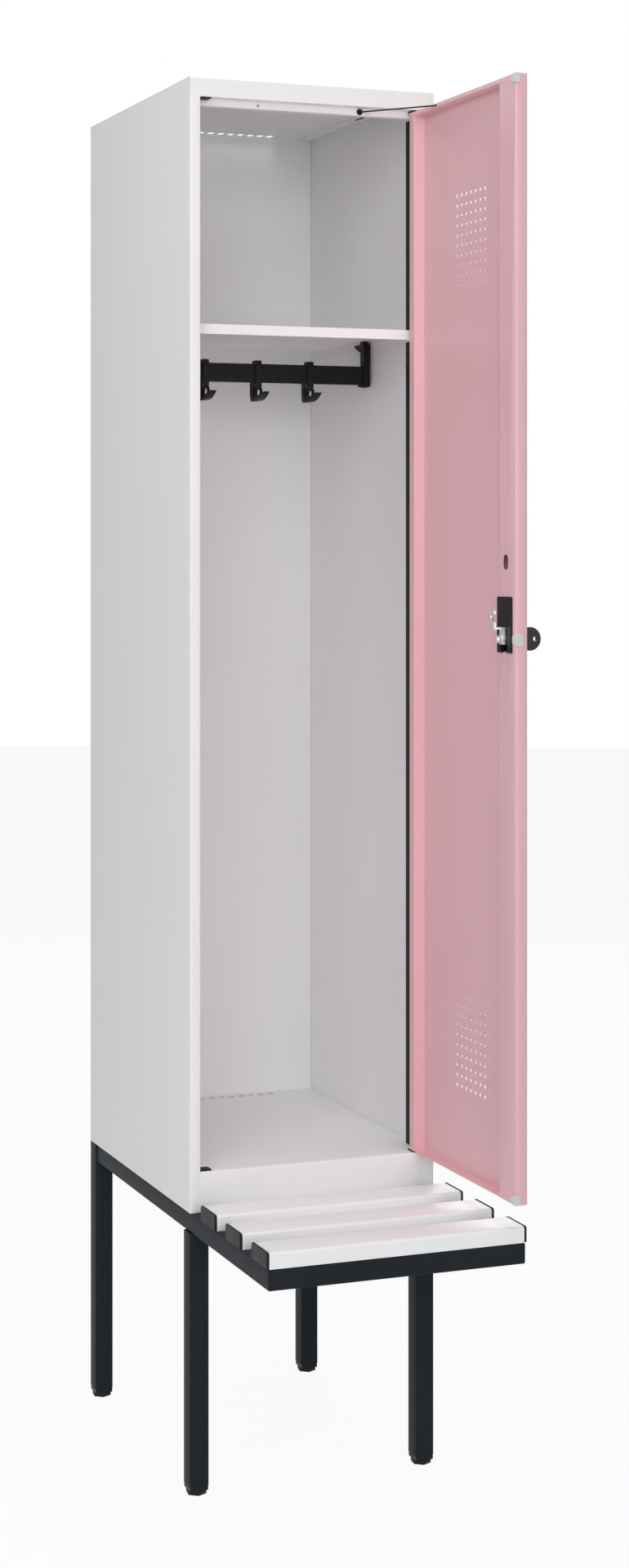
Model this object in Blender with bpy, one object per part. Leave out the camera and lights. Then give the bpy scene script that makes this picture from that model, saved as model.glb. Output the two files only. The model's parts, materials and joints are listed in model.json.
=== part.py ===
"""Steel cloakroom locker standing on a tube frame that runs forward as a slatted bench.

Cabinet coordinates: X runs from the left outer face to the right, Y from the plane of the
carcass front to the back, Z up from the floor. One empty moves them so that the part's own
origin is on the floor, in the middle of the footprint. All lengths are in metres.
"""

import math

import bmesh
import bpy
from mathutils import Matrix, Vector

MM = 0.001

# Clearances and sheet work shared by all pieces
GAP = 0.3 * MM
CUT = 5 * MM
SHEET = 1 * MM
BEND = 1.5 * MM
HALF_SHEET = SHEET / 2
SAME_POINT = 0.001 * MM

# Carcass
WIDTH = 400 * MM
DEPTH = 500 * MM
CARCASS_HEIGHT = 1700 * MM
TOP_FASCIA = 29 * MM
BOTTOM_FASCIA = 61 * MM
STILE_FACE = 16.3 * MM
STILE_STEP = 3 * MM
STILE_DEPTH = 36 * MM
STILE_LIP = 9 * MM
REBATE = 20.5 * MM
STOP_DROP = 10.5 * MM
STOP_LIP = 12 * MM
REAR_FLANGE = 15 * MM
CEILING_FLANGE = 10 * MM
FLOOR_STEP = 2.5 * MM
FLOOR_LIP = 30 * MM
SHELF_TOP = 1333 * MM
SHELF_LIP = 15 * MM
SHELF_SETBACK = 25 * MM

# Ventilation slots in the ceiling and the floor
SLOT_COUNT = 14
SLOT_PITCH = 17.8 * MM
SLOT_WIDTH = 11.2 * MM
SLOT_LENGTH = 17 * MM
SLOT_TO_BACK = 9 * MM

# Dark liner on the hinge side, in two lengths, above and below the shelf
LINER_PROUD = 1.7 * MM
LINER_SHEET = 1.5 * MM
LINER_DEPTH = 36.4 * MM
LINER_TOP = 1664 * MM

# Frame of square tube with the bench
BASE_HEIGHT = 423.5 * MM
TUBE = 30 * MM
TUBE_WALL = 2 * MM
TUBE_CORNER = 2 * MM
RAIL_INSET = 2.7 * MM
BENCH_REACH = 315 * MM

# Levelling feet
FOOT_HEIGHT = 6.9 * MM
FOOT_RADIUS = 16.3 * MM
FOOT_TURN = math.radians(-36)
FOOT_CHAMFER = 1 * MM
FOOT_TRAVEL = 15 * MM
STEM_RADIUS = 4 * MM
STEM_LENGTH = 32 * MM
PLUG_HEIGHT = 6.5 * MM
PLUG_INSET = 0.8 * MM
PLUG_INSERT = 18 * MM
THREAD_GAP = 0.3 * MM

# Bench slats and their end caps
SLAT_COUNT = 3
SLAT_WIDTH = 60.5 * MM
SLAT_PITCH = 104.5 * MM
SLAT_HEIGHT = 23.2 * MM
SLAT_WALL = 2.5 * MM
SLAT_ROUND = 4 * MM
CAP_THICK = 4 * MM
CAP_PROUD = 0.7 * MM
CAP_PEG = 12 * MM
CAP_CHAMFER = 1 * MM

# Door, a folded pan that turns on two pivot pins
OPEN_ANGLE = math.radians(90)
HINGE_TO_EDGE = 6.5 * MM
HINGE_TO_FACE = 8.4 * MM
DOOR_SIDE_GAP = 1.95 * MM
DOOR_BOTTOM_GAP = 2.9 * MM
DOOR_TOP_GAP = 3.1 * MM
DOOR_THICK = 18.3 * MM
HINGE_STILE = 18.2 * MM
LOCK_STILE = 53.3 * MM
STILE_FOOT = 9 * MM
TOP_LIP = 7 * MM
DIMPLE_RADIUS = 1.6 * MM
DIMPLE_HEIGHT = 1242 * MM
DIMPLE_INSET = 2.6 * MM

# Graded perforation of the door
HOLE_COLUMNS = 7
HOLE_ROWS = 10
HOLE_PITCH_X = 15.7 * MM
HOLE_PITCH_Z = 15 * MM
HOLE_SMALL = 1.7 * MM
HOLE_LARGE = 3.1 * MM
HOLE_SIDES = 8
HOLE_TOP_EDGE = 144.6 * MM
HOLE_BOTTOM_EDGE = 125.4 * MM

# Pivot pins and the plastic blocks that hold them
PIN_RADIUS = 2.5 * MM
PIN_HEAD_RADIUS = 4 * MM
PIN_HEAD = 4 * MM
PIN_INTO_BLOCK = 9 * MM
BLOCK_WIDTH = 21.1 * MM
BLOCK_FRONT = 2.6 * MM
BLOCK_TOP_THICK = 1.8 * MM
BLOCK_BOTTOM_THICK = 2.2 * MM
BARREL_RADIUS = 5 * MM
BARREL_LENGTH = 12 * MM

# Lock: housing, rosette, turning knob with a padlock eye, cam and nut
LOCK_HEIGHT = 865 * MM
SPINDLE_FROM_EDGE = 32.6 * MM
SPINDLE_RADIUS = 4 * MM
SPINDLE_INTO_KNOB = 7.5 * MM
SPINDLE_END = 2.5 * MM
SPINDLE_CHAMFER = 0.6 * MM
HOUSING_LENGTH = 80 * MM
HOUSING_BELOW = 19.5 * MM
HOUSING_OVER_STILE = 1.8 * MM
HOUSING_WIDTH = 44.9 * MM
HOUSING_PROUD = 2.5 * MM
POCKET_WIDTH = 21.5 * MM
POCKET_ABOVE = 15 * MM
POCKET_BELOW = 16.5 * MM
POCKET_DEPTH = 10 * MM
POCKET_WALL = 1.5 * MM
NOTCH_WIDTH = 13 * MM
PUNCH_OUT_WIDTH = 16 * MM
PUNCH_OUT_HEIGHT = 22 * MM
PUNCH_OUT_ABOVE = 110 * MM
ROSETTE_RADIUS = 16 * MM
ROSETTE_THICK = 4 * MM
KNOB_RADIUS = 17 * MM
KNOB_CENTRE = 19.3 * MM
KNOB_THICK = 8 * MM
KNOB_HUB_RADIUS = 9 * MM
KNOB_HUB_LENGTH = 9 * MM
KNOB_EDGE = 1.2 * MM
EYE_RADIUS = 3.6 * MM
EYE_FROM_DOOR = 27.3 * MM
CAM_WIDTH = 15 * MM
CAM_THICK = 3 * MM
CAM_TAIL = 7.5 * MM
CAM_ARM = 15.7 * MM
CAM_OFFSET = 16.1 * MM
CAM_REACH = 41 * MM
CLAW_NIB = 5.4 * MM
CLAW_MOUTH = 11 * MM
CLAW_INNER = 5.4 * MM
CLAW_DEPTH = 11 * MM
WASHER_RADIUS = 6.9 * MM
WASHER_THICK = 1.2 * MM
NUT_ACROSS = 11 * MM
NUT_THICK = 4.8 * MM

# Rubber buffers on the lock edge
BUFFER_HEIGHT = 16.8 * MM
BUFFER_CORNER_HEIGHT = 14 * MM
BUFFER_WRAP = 13.6 * MM
BUFFER_BACK = 6.8 * MM
BUFFER_MIDDLE_WRAP = 9.8 * MM
BUFFER_MIDDLE_BACK = 11.4 * MM
BUFFER_PAD = 1.9 * MM
BUFFER_PROUD = 1.6 * MM
BUFFER_OVER_END = 0.7 * MM
BUFFER_UNDER_END = 0.1 * MM
BUFFER_CHAMFER = 0.8 * MM
BUFFER_TAPER = 4 * MM
BUFFER_TAPER_LENGTH = 8 * MM

# Stay cord that stops the open door
STAY_RADIUS = 1.2 * MM
STAY_FROM_HINGE = 91.6 * MM
STAY_BELOW_TOP = 5.3 * MM
STAY_LIP_DROP = 3.5 * MM
ANCHOR_RADIUS = 4.7 * MM
ANCHOR_HEAD = 1.7 * MM
ANCHOR_SHANK = 2 * MM
ANCHOR_LENGTH = 6 * MM
BALL_RADIUS = 2.1 * MM
STAY_HOLE_LENGTH = 5.8 * MM

# Coat rail, its brackets and the sliding hooks
RAIL_HEIGHT = 30 * MM
RAIL_DEPTH = 12 * MM
RAIL_FRONT = 236 * MM
RAIL_BELOW_SHELF = 42.5 * MM
RIB_DEPTH = 1 * MM
RIB_COUNT = 3
BRACKET_WIDTH = 12 * MM
BRACKET_FROM_SIDE = 4.5 * MM
BRACKET_PROUD = 3 * MM
BRACKET_BELOW = 4 * MM
BRACKET_LEDGE = 5 * MM
BRACKET_PAD_DROP = 4.6 * MM
BRACKET_FLANGE = 3 * MM
BRACKET_STEP = 2 * MM
GUSSET_WIDTH = 5.2 * MM
GUSSET_LENGTH = 24 * MM
GUSSET_HEIGHT = 13.5 * MM
GUSSET_END = 3.8 * MM
HOOK_COUNT = 3
HOOK_PITCH = 90 * MM
HOOK_WIDTH = 9.6 * MM
HOOK_BAND = 3 * MM
HOOK_CREST = 5.2 * MM
HOOK_BACK = 10.7 * MM
HOOK_HEEL = 3.6 * MM
HOOK_DROP = 29.3 * MM
HOOK_EDGE = 0.6 * MM
HORN_RADIUS = 57.3 * MM
HORN_BEHIND_BAND = 2 * MM
HORN_SWEEP = 40
HORN_ROOT = 7.4 * MM
HORN_TIP = 2.2 * MM
LOOP_RADIUS = 10.5 * MM
LOOP_BELOW = 16.9 * MM
LOOP_END = 210
WEB_THICK = 4.4 * MM
WEB_BACK = 19.3 * MM
WEB_FLOOR = 6.8 * MM
WEB_MEETS_HORN = 9.7 * MM
WEB_HORN_RISE = 1.6 * MM
LOOP_HOLE_LENGTH = 21.3 * MM
LOOP_HOLE_HEIGHT = 9 * MM
LOOP_HOLE_WALL = 2.2 * MM
LOOP_HOLE_RAISED = 1.2 * MM

# Heights and places that follow from the sizes above
CARCASS_TOP = BASE_HEIGHT + CARCASS_HEIGHT
OPENING_BOTTOM = BASE_HEIGHT + BOTTOM_FASCIA
OPENING_TOP = CARCASS_TOP - TOP_FASCIA
OPENING_LEFT = STILE_FACE
OPENING_RIGHT = WIDTH - STILE_FACE
FLOOR_LEVEL = OPENING_BOTTOM - FLOOR_STEP
SHELF_LEVEL = BASE_HEIGHT + SHELF_TOP
SKIN = SHEET + GAP
HINGE_X = OPENING_RIGHT - DOOR_SIDE_GAP - HINGE_TO_EDGE
HINGE_Y = HINGE_TO_FACE
DOOR_LEFT = OPENING_LEFT + DOOR_SIDE_GAP - HINGE_X
DOOR_RIGHT = HINGE_TO_EDGE
DOOR_OUT = -HINGE_TO_FACE
DOOR_IN = DOOR_OUT + DOOR_THICK
DOOR_BOTTOM = OPENING_BOTTOM + DOOR_BOTTOM_GAP
DOOR_TOP = OPENING_TOP - DOOR_TOP_GAP
LOCK_X = DOOR_LEFT + SPINDLE_FROM_EDGE
LOCK_Z = BASE_HEIGHT + LOCK_HEIGHT
KNOB_REACH = KNOB_CENTRE + KNOB_RADIUS
RAIL_BACK = RAIL_FRONT + RAIL_DEPTH
RAIL_TOP = SHELF_LEVEL - RAIL_BELOW_SHELF
RAIL_BOTTOM = RAIL_TOP - RAIL_HEIGHT
FOOTPRINT_RIGHT = HINGE_X + HINGE_Y + KNOB_REACH
DOOR_REACH = HINGE_X - HINGE_Y - OPENING_LEFT - DOOR_SIDE_GAP + BUFFER_PROUD
FOOTPRINT_FRONT = max(BENCH_REACH, DOOR_REACH)


# Shape helpers

def place(axis, first, second, along):
    """Put a point of an outline into space, the outline standing square to the axis."""
    if axis == "X":
        return Vector((along, first, second))
    if axis == "Y":
        return Vector((first, along, second))
    return Vector((first, second, along))


def prism(outline, low, high, axis):
    """A closed solid: the outline drawn from low to high along the axis."""
    mesh = bmesh.new()
    rings = []
    for level in (low, high):
        rings.append([mesh.verts.new(place(axis, a, b, level)) for a, b in outline])
    mesh.faces.new(rings[0])
    mesh.faces.new(rings[1])
    count = len(outline)
    for i in range(count):
        j = (i + 1) % count
        mesh.faces.new((rings[0][i], rings[0][j], rings[1][j], rings[1][i]))
    bmesh.ops.recalc_face_normals(mesh, faces=mesh.faces)
    return mesh


def block(low, high):
    """A box between two corners."""
    outline = [(low[0], low[1]), (high[0], low[1]), (high[0], high[1]), (low[0], high[1])]
    return prism(outline, low[2], high[2], "Z")


def ring(centre, radius, sides, turn=0.0):
    """The corners of a round or many-sided outline."""
    corners = []
    for i in range(sides):
        angle = turn + 2 * math.pi * i / sides
        corners.append((centre[0] + radius * math.cos(angle), centre[1] + radius * math.sin(angle)))
    return corners


def turned(profile, sides):
    """A solid turned about the Z axis from (radius, height) points, from end to end."""
    mesh = bmesh.new()
    rows = []
    for radius, height in profile:
        if radius == 0:
            rows.append([mesh.verts.new((0, 0, height))])
        else:
            rows.append([mesh.verts.new((x, y, height)) for x, y in ring((0, 0), radius, sides)])
    for lower, upper in zip(rows, rows[1:]):
        for i in range(sides):
            j = (i + 1) % sides
            corners = [lower[i % len(lower)], lower[j % len(lower)]]
            corners += [upper[j % len(upper)], upper[i % len(upper)]]
            mesh.faces.new(list(dict.fromkeys(corners)))
    bmesh.ops.recalc_face_normals(mesh, faces=mesh.faces)
    return mesh


def rod(start, end, radius, sides, steps):
    """A round rod from point to point, in short lengths so that it can bend."""
    length = (end - start).length
    profile = [(0, 0)] + [(radius, length * i / steps) for i in range(steps + 1)] + [(0, length)]
    mesh = turned(profile, sides)
    turn = Vector((0, 0, 1)).rotation_difference(end - start).to_matrix()
    bmesh.ops.rotate(mesh, cent=(0, 0, 0), matrix=turn, verts=mesh.verts)
    bmesh.ops.translate(mesh, vec=start, verts=mesh.verts)
    return mesh


def arc(centre, radius, start, end, steps):
    """Points on an arc, angles in degrees."""
    points = []
    for i in range(steps + 1):
        angle = math.radians(start + (end - start) * i / steps)
        points.append((centre[0] + radius * math.cos(angle), centre[1] + radius * math.sin(angle)))
    return points


def rounded(corners, radius, steps=3, closed=False):
    """The corners of a line or outline, each square one turned into an arc."""
    count = len(corners)
    result = []
    for i, corner in enumerate(corners):
        if not closed and i in (0, count - 1):
            result.append(corner)
            continue
        here = Vector(corner)
        before = Vector(corners[i - 1]) - here
        after = Vector(corners[(i + 1) % count]) - here
        reach = min(radius, before.length / 2, after.length / 2)
        start = here + before.normalized() * reach
        end = here + after.normalized() * reach
        centre = start + end - here
        for k in range(steps + 1):
            angle = math.pi / 2 * k / steps
            point = centre + (start - centre) * math.cos(angle) + (end - centre) * math.sin(angle)
            if not result or (point - Vector(result[-1])).length > SAME_POINT:
                result.append((point.x, point.y))
    return result


def strip(line, thickness):
    """The outline of a bent sheet, from the middle line of its section."""
    points = [Vector(point) for point in line]
    left, right = [], []
    for i, point in enumerate(points):
        before = (point - points[i - 1]).normalized() if i else None
        after = (points[i + 1] - point).normalized() if i + 1 < len(points) else None
        along = (before or after) + (after or before)
        along.normalize()
        across = Vector((-along.y, along.x))
        lean = along.dot(after or before)
        offset = across * (thickness / 2 / lean)
        left.append(tuple(point + offset))
        right.append(tuple(point - offset))
    return left + right[::-1]


def folded(line, thickness, low, high, axis, bend=BEND):
    """A folded sheet, drawn along the axis."""
    return prism(strip(rounded(line, bend), thickness), low, high, axis)


def square(low, high, corner):
    """Outline of a square with rounded corners."""
    return rounded([(low, low), (high, low), (high, high), (low, high)], corner, closed=True)


def tube(place_low, length, axis, miter_start=0, miter_end=0):
    """A length of square tube; a miter slants its end by the distance from the corner."""
    outer = square(0, TUBE, TUBE_CORNER)
    inner = square(TUBE_WALL, TUBE - TUBE_WALL, TUBE_CORNER - TUBE_WALL / 2)
    mesh = bmesh.new()
    loops = []
    for outline, start, miter in (
        (outer, 0, miter_start),
        (outer, length, -miter_end),
        (inner, length, -miter_end),
        (inner, 0, miter_start),
    ):
        loops.append([mesh.verts.new(place(axis, a, b, start + miter * a)) for a, b in outline])
    count = len(outer)
    for loop, other in zip(loops, loops[1:] + loops[:1]):
        for i in range(count):
            j = (i + 1) % count
            mesh.faces.new((loop[i], loop[j], other[j], other[i]))
    bmesh.ops.recalc_face_normals(mesh, faces=mesh.faces)
    bmesh.ops.translate(mesh, verts=mesh.verts, vec=place_low)
    return mesh


# Scene helpers

def clear_scene():
    for thing in list(bpy.data.objects):
        bpy.data.objects.remove(thing)


def linear(code):
    """A colour written as six hex digits, turned to linear light."""
    channels = []
    for i in (0, 2, 4):
        value = int(code[i:i + 2], 16) / 255
        channels.append(value / 12.92 if value <= 0.04045 else ((value + 0.055) / 1.055) ** 2.4)
    return (*channels, 1.0)


def finish(name, code, roughness, metallic=0.0):
    """A material with the piece's colour."""
    made = bpy.data.materials.new(name)
    made.use_nodes = True
    shader = made.node_tree.nodes["Principled BSDF"]
    shader.inputs["Base Color"].default_value = linear(code)
    shader.inputs["Roughness"].default_value = roughness
    shader.inputs["Metallic"].default_value = metallic
    return made


def frame(name, location, parent=None, turn=0.0):
    """An empty that carries pieces."""
    empty = bpy.data.objects.new(name, None)
    empty.location = location
    empty.rotation_euler = (0, 0, turn)
    empty.parent = parent
    bpy.context.scene.collection.objects.link(empty)
    return empty


def piece(name, shape, material, parent, smooth=False):
    """A named object from a bmesh solid."""
    mesh = bpy.data.meshes.new(name)
    shape.to_mesh(mesh)
    shape.free()
    if smooth:
        mesh.shade_smooth()
        mesh.set_sharp_from_angle(angle=math.radians(35))
    made = bpy.data.objects.new(name, mesh)
    made.parent = parent
    mesh.materials.append(material)
    bpy.context.scene.collection.objects.link(made)
    return made


def combine(target, shape, operation):
    """Cut the shape from a piece, or join it on, with a hidden tool body."""
    mesh = bpy.data.meshes.new(target.name + "_tool")
    shape.to_mesh(mesh)
    shape.free()
    tool = bpy.data.objects.new(mesh.name, mesh)
    tool.parent = target.parent
    tool.hide_render = True
    tool.display_type = "WIRE"
    bpy.context.scene.collection.objects.link(tool)
    change = target.modifiers.new(operation.title(), "BOOLEAN")
    change.operation = operation
    change.solver = "EXACT"
    change.object = tool


def cut(target, shape):
    combine(target, shape, "DIFFERENCE")


def join(target, shape):
    combine(target, shape, "UNION")


def edge_bevel(target, width, segments=1):
    """Break the sharp edges of a moulded piece."""
    change = target.modifiers.new("Edge", "BEVEL")
    change.width = width
    change.segments = segments
    change.limit_method = "ANGLE"
    change.angle_limit = math.radians(50)
    change.use_clamp_overlap = True


# Carcass of folded sheet

def stile_line():
    """Middle line of the left side panel in plan: rear flange, side, stile, return, lip."""
    inner = STILE_FACE - STILE_STEP
    hem = SHEET + GAP + HALF_SHEET
    return [
        (REAR_FLANGE, DEPTH - HALF_SHEET),
        (HALF_SHEET, DEPTH - HALF_SHEET),
        (HALF_SHEET, HALF_SHEET),
        (STILE_FACE - HALF_SHEET, HALF_SHEET),
        (STILE_FACE - HALF_SHEET, hem),
        (inner - HALF_SHEET, hem),
        (inner - HALF_SHEET, STILE_DEPTH - HALF_SHEET),
        (inner - STILE_LIP, STILE_DEPTH - HALF_SHEET),
    ]


def side_panels(metal, carcass):
    """Left and right side, mirror images of one folded sheet."""
    line = stile_line()
    low = BASE_HEIGHT + GAP
    high = CARCASS_TOP - SKIN
    full = strip(rounded(line, BEND), SHEET)
    for name, mirrored in (("side_panel_left", False), ("side_panel_right", True)):
        outline = [(WIDTH - x, y) for x, y in full] if mirrored else full
        panel = piece(name, prism(outline, low, high, "Z"), metal, carcass)
        start = OPENING_RIGHT - CUT if mirrored else -CUT
        end = WIDTH + CUT if mirrored else OPENING_LEFT + CUT
        corner = (start, -CUT, OPENING_TOP - GAP)
        cut(panel, block(corner, (end, SHEET + BEND / 2, high + CUT)))


def slot_row(level):
    """Cutter for the row of ventilation slots, centred on the width."""
    whole = bmesh.new()
    first = WIDTH / 2 - (SLOT_COUNT - 1) * SLOT_PITCH / 2
    rear = DEPTH - SLOT_TO_BACK
    for i in range(SLOT_COUNT):
        middle = first + i * SLOT_PITCH
        low = (middle - SLOT_WIDTH / 2, rear - SLOT_LENGTH, level - CUT)
        high = (middle + SLOT_WIDTH / 2, rear, level + CUT)
        add_body(whole, block(low, high))
    return whole


def add_body(whole, shape):
    """Collect separate bodies in one cutter."""
    mesh = bpy.data.meshes.new("part_of_cutter")
    shape.to_mesh(mesh)
    shape.free()
    whole.from_mesh(mesh)
    bpy.data.meshes.remove(mesh)


def back_panel(metal, carcass):
    rear = DEPTH - SKIN
    side = SKIN + BEND / 2
    low = (side, rear - SHEET, BASE_HEIGHT + GAP)
    high = (WIDTH - side, rear, CARCASS_TOP - SKIN)
    piece("back_panel", block(low, high), metal, carcass)


def top_panel(metal, carcass):
    """Cap with the fascia, its return and the stop face that the door closes on."""
    line = [
        (DEPTH, CARCASS_TOP - HALF_SHEET),
        (HALF_SHEET, CARCASS_TOP - HALF_SHEET),
        (HALF_SHEET, OPENING_TOP),
    ]
    panel = piece("top_panel", folded(line, SHEET, 0, WIDTH, "X"), metal, carcass)
    stop = OPENING_TOP - STOP_DROP + HALF_SHEET
    line = [
        (HALF_SHEET, OPENING_TOP + HALF_SHEET),
        (REBATE + HALF_SHEET, OPENING_TOP + HALF_SHEET),
        (REBATE + HALF_SHEET, stop),
        (REBATE + STOP_LIP, stop),
    ]
    low = OPENING_LEFT + GAP
    high = OPENING_RIGHT - GAP
    join(panel, folded(line, SHEET, low, high, "X"))
    front = STILE_DEPTH + GAP
    rear = DEPTH - SKIN - SHEET - GAP
    drop = CARCASS_TOP - SHEET - CEILING_FLANGE
    for near in (SKIN, WIDTH - SKIN - SHEET):
        corner = (near, front, drop)
        join(panel, block(corner, (near + SHEET, rear, CARCASS_TOP - HALF_SHEET)))
    cut(panel, slot_row(CARCASS_TOP))
    for x in (HINGE_X, WIDTH - HINGE_X):
        hole = ring((x, HINGE_Y), BARREL_RADIUS + GAP, 16)
        cut(panel, prism(hole, OPENING_TOP - CUT, OPENING_TOP + CUT, "Z"))
    for x in (anchor_x(), WIDTH - anchor_x()):
        hole = ring((x, anchor_z()), ANCHOR_SHANK + GAP, 10)
        cut(panel, prism(hole, REBATE - CUT, REBATE + CUT, "Y"))


def bottom_fascia(metal, carcass):
    """Front rail under the door, with a foot on the frame and a return that holds the blocks."""
    line = [
        (FLOOR_LIP, BASE_HEIGHT + GAP + HALF_SHEET),
        (HALF_SHEET, BASE_HEIGHT + GAP + HALF_SHEET),
        (HALF_SHEET, OPENING_BOTTOM - HALF_SHEET),
        (REBATE - GAP, OPENING_BOTTOM - HALF_SHEET),
    ]
    low = OPENING_LEFT + GAP
    high = OPENING_RIGHT - GAP
    panel = piece("bottom_fascia", folded(line, SHEET, low, high, "X"), metal, carcass)
    for x in (HINGE_X, WIDTH - HINGE_X):
        hole = ring((x, HINGE_Y), BARREL_RADIUS + GAP, 16)
        cut(panel, prism(hole, OPENING_BOTTOM - CUT, OPENING_BOTTOM + CUT, "Z"))


def floor_panel(metal, carcass):
    """Raised floor with side skirts that stand on the side rails."""
    side = SKIN + HALF_SHEET
    foot = BASE_HEIGHT + GAP + HALF_SHEET
    level = FLOOR_LEVEL - HALF_SHEET
    line = [
        (side + FLOOR_LIP, foot),
        (side, foot),
        (side, level),
        (WIDTH - side, level),
        (WIDTH - side, foot),
        (WIDTH - side - FLOOR_LIP, foot),
    ]
    front = STILE_DEPTH + GAP
    rear = DEPTH - SKIN - SHEET - GAP
    panel = piece("floor_panel", folded(line, SHEET, front, rear, "Y"), metal, carcass)
    low = (OPENING_LEFT + GAP, REBATE + GAP, FLOOR_LEVEL - SHEET)
    high = (OPENING_RIGHT - GAP, front + SHEET, FLOOR_LEVEL)
    join(panel, block(low, high))
    cut(panel, slot_row(FLOOR_LEVEL))


def shelf_outline(inset):
    """Plan of the shelf, which is cut back round the two stiles."""
    notch = STILE_FACE - STILE_STEP + GAP + inset
    side = SKIN + inset
    front = SHELF_SETBACK + inset
    step = STILE_DEPTH + GAP + inset
    rear = DEPTH - SKIN - SHEET - GAP - inset
    return [
        (notch, front),
        (WIDTH - notch, front),
        (WIDTH - notch, step),
        (WIDTH - side, step),
        (WIDTH - side, rear),
        (side, rear),
        (side, step),
        (notch, step),
    ]


def hat_shelf(metal, carcass):
    """Shelf pressed as a shallow pan, open underneath."""
    low = SHELF_LEVEL - SHELF_LIP
    shelf = piece("hat_shelf", prism(shelf_outline(0), low, SHELF_LEVEL, "Z"), metal, carcass)
    cut(shelf, prism(shelf_outline(SHEET), low - CUT, SHELF_LEVEL - SHEET, "Z"))


def stile_liners(dark, carcass):
    """Dark channel that lines the hinge side behind the stile, in two lengths."""
    half = LINER_SHEET / 2
    face = WIDTH - STILE_FACE + STILE_STEP - LINER_PROUD + half
    side = WIDTH - SKIN
    front = STILE_DEPTH + GAP
    rear = front + LINER_DEPTH
    line = [(side, front + half), (face, front + half), (face, rear - half), (side, rear - half)]
    lengths = (
        ("stile_liner_lower", FLOOR_LEVEL + GAP, SHELF_LEVEL - SHELF_LIP - GAP),
        ("stile_liner_upper", SHELF_LEVEL + GAP, BASE_HEIGHT + LINER_TOP),
    )
    for name, low, high in lengths:
        piece(name, folded(line, LINER_SHEET, low, high, "Z"), dark, carcass)


def pivot_blocks(plastic, carcass):
    """Four bearing blocks; the two on the left let the door be hung the other way round."""
    inner = STILE_FACE - STILE_STEP + GAP
    rear = REBATE - BEND / 2
    bore = PIN_RADIUS + GAP
    for side, x in (("left", WIDTH - HINGE_X), ("right", HINGE_X)):
        low_x = inner if side == "left" else WIDTH - inner - BLOCK_WIDTH
        levels = (
            ("top", OPENING_TOP - GAP, -BLOCK_TOP_THICK, BARREL_LENGTH),
            ("bottom", OPENING_BOTTOM + GAP, BLOCK_BOTTOM_THICK, -BARREL_LENGTH),
        )
        for end, seat, thick, barrel in levels:
            low, high = sorted((seat, seat + thick))
            plate = block((low_x, BLOCK_FRONT, low), (low_x + BLOCK_WIDTH, rear, high))
            made = piece("pivot_block_%s_%s" % (end, side), plate, plastic, carcass)
            low, high = sorted((seat + thick / 2, seat + barrel))
            join(made, prism(ring((x, HINGE_Y), BARREL_RADIUS, 16), low, high, "Z"))
            low, high = sorted((seat + 2 * thick, seat + 2 * barrel))
            cut(made, prism(ring((x, HINGE_Y), bore, 16), low, high, "Z"))


# Frame and bench

def base_frame(dark, carcass):
    """Legs, side rails that run forward as the bench, and cross rails."""
    under_rail = BASE_HEIGHT - TUBE
    low = FOOT_HEIGHT + GAP + PLUG_HEIGHT + GAP
    far_x = WIDTH - TUBE
    rear_y = DEPTH - TUBE
    legs = (
        ("leg_front_left", 0, 0, under_rail - GAP),
        ("leg_front_right", far_x, 0, under_rail - GAP),
        ("leg_rear_left", 0, rear_y, BASE_HEIGHT),
        ("leg_rear_right", far_x, rear_y, BASE_HEIGHT),
    )
    for name, x, y, high in legs:
        piece(name, tube((x, y, low), high - low, "Z"), dark, carcass)
    reach = rear_y - GAP + BENCH_REACH
    miter_gap = GAP
    left = tube((RAIL_INSET, -BENCH_REACH + miter_gap, under_rail), reach - miter_gap, "Y", 1)
    piece("side_rail_left", left, dark, carcass)
    right = tube((0, -BENCH_REACH + miter_gap, under_rail), reach - miter_gap, "Y", 1)
    bmesh.ops.scale(right, vec=(-1, 1, 1), verts=right.verts)
    bmesh.ops.translate(right, vec=(WIDTH - RAIL_INSET, 0, 0), verts=right.verts)
    bmesh.ops.reverse_faces(right, faces=right.faces)
    piece("side_rail_right", right, dark, carcass)
    span = WIDTH - 2 * RAIL_INSET
    cross = tube((RAIL_INSET + GAP, -BENCH_REACH, under_rail), span - 2 * GAP, "X", 1, 1)
    piece("bench_cross_rail", cross, dark, carcass)
    start = RAIL_INSET + TUBE + GAP
    cross = tube((start, 0, under_rail), WIDTH - 2 * start, "X")
    piece("front_cross_rail", cross, dark, carcass)
    start = TUBE + GAP
    cross = tube((start, rear_y, under_rail), WIDTH - 2 * start, "X")
    piece("rear_cross_rail", cross, dark, carcass)


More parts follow.
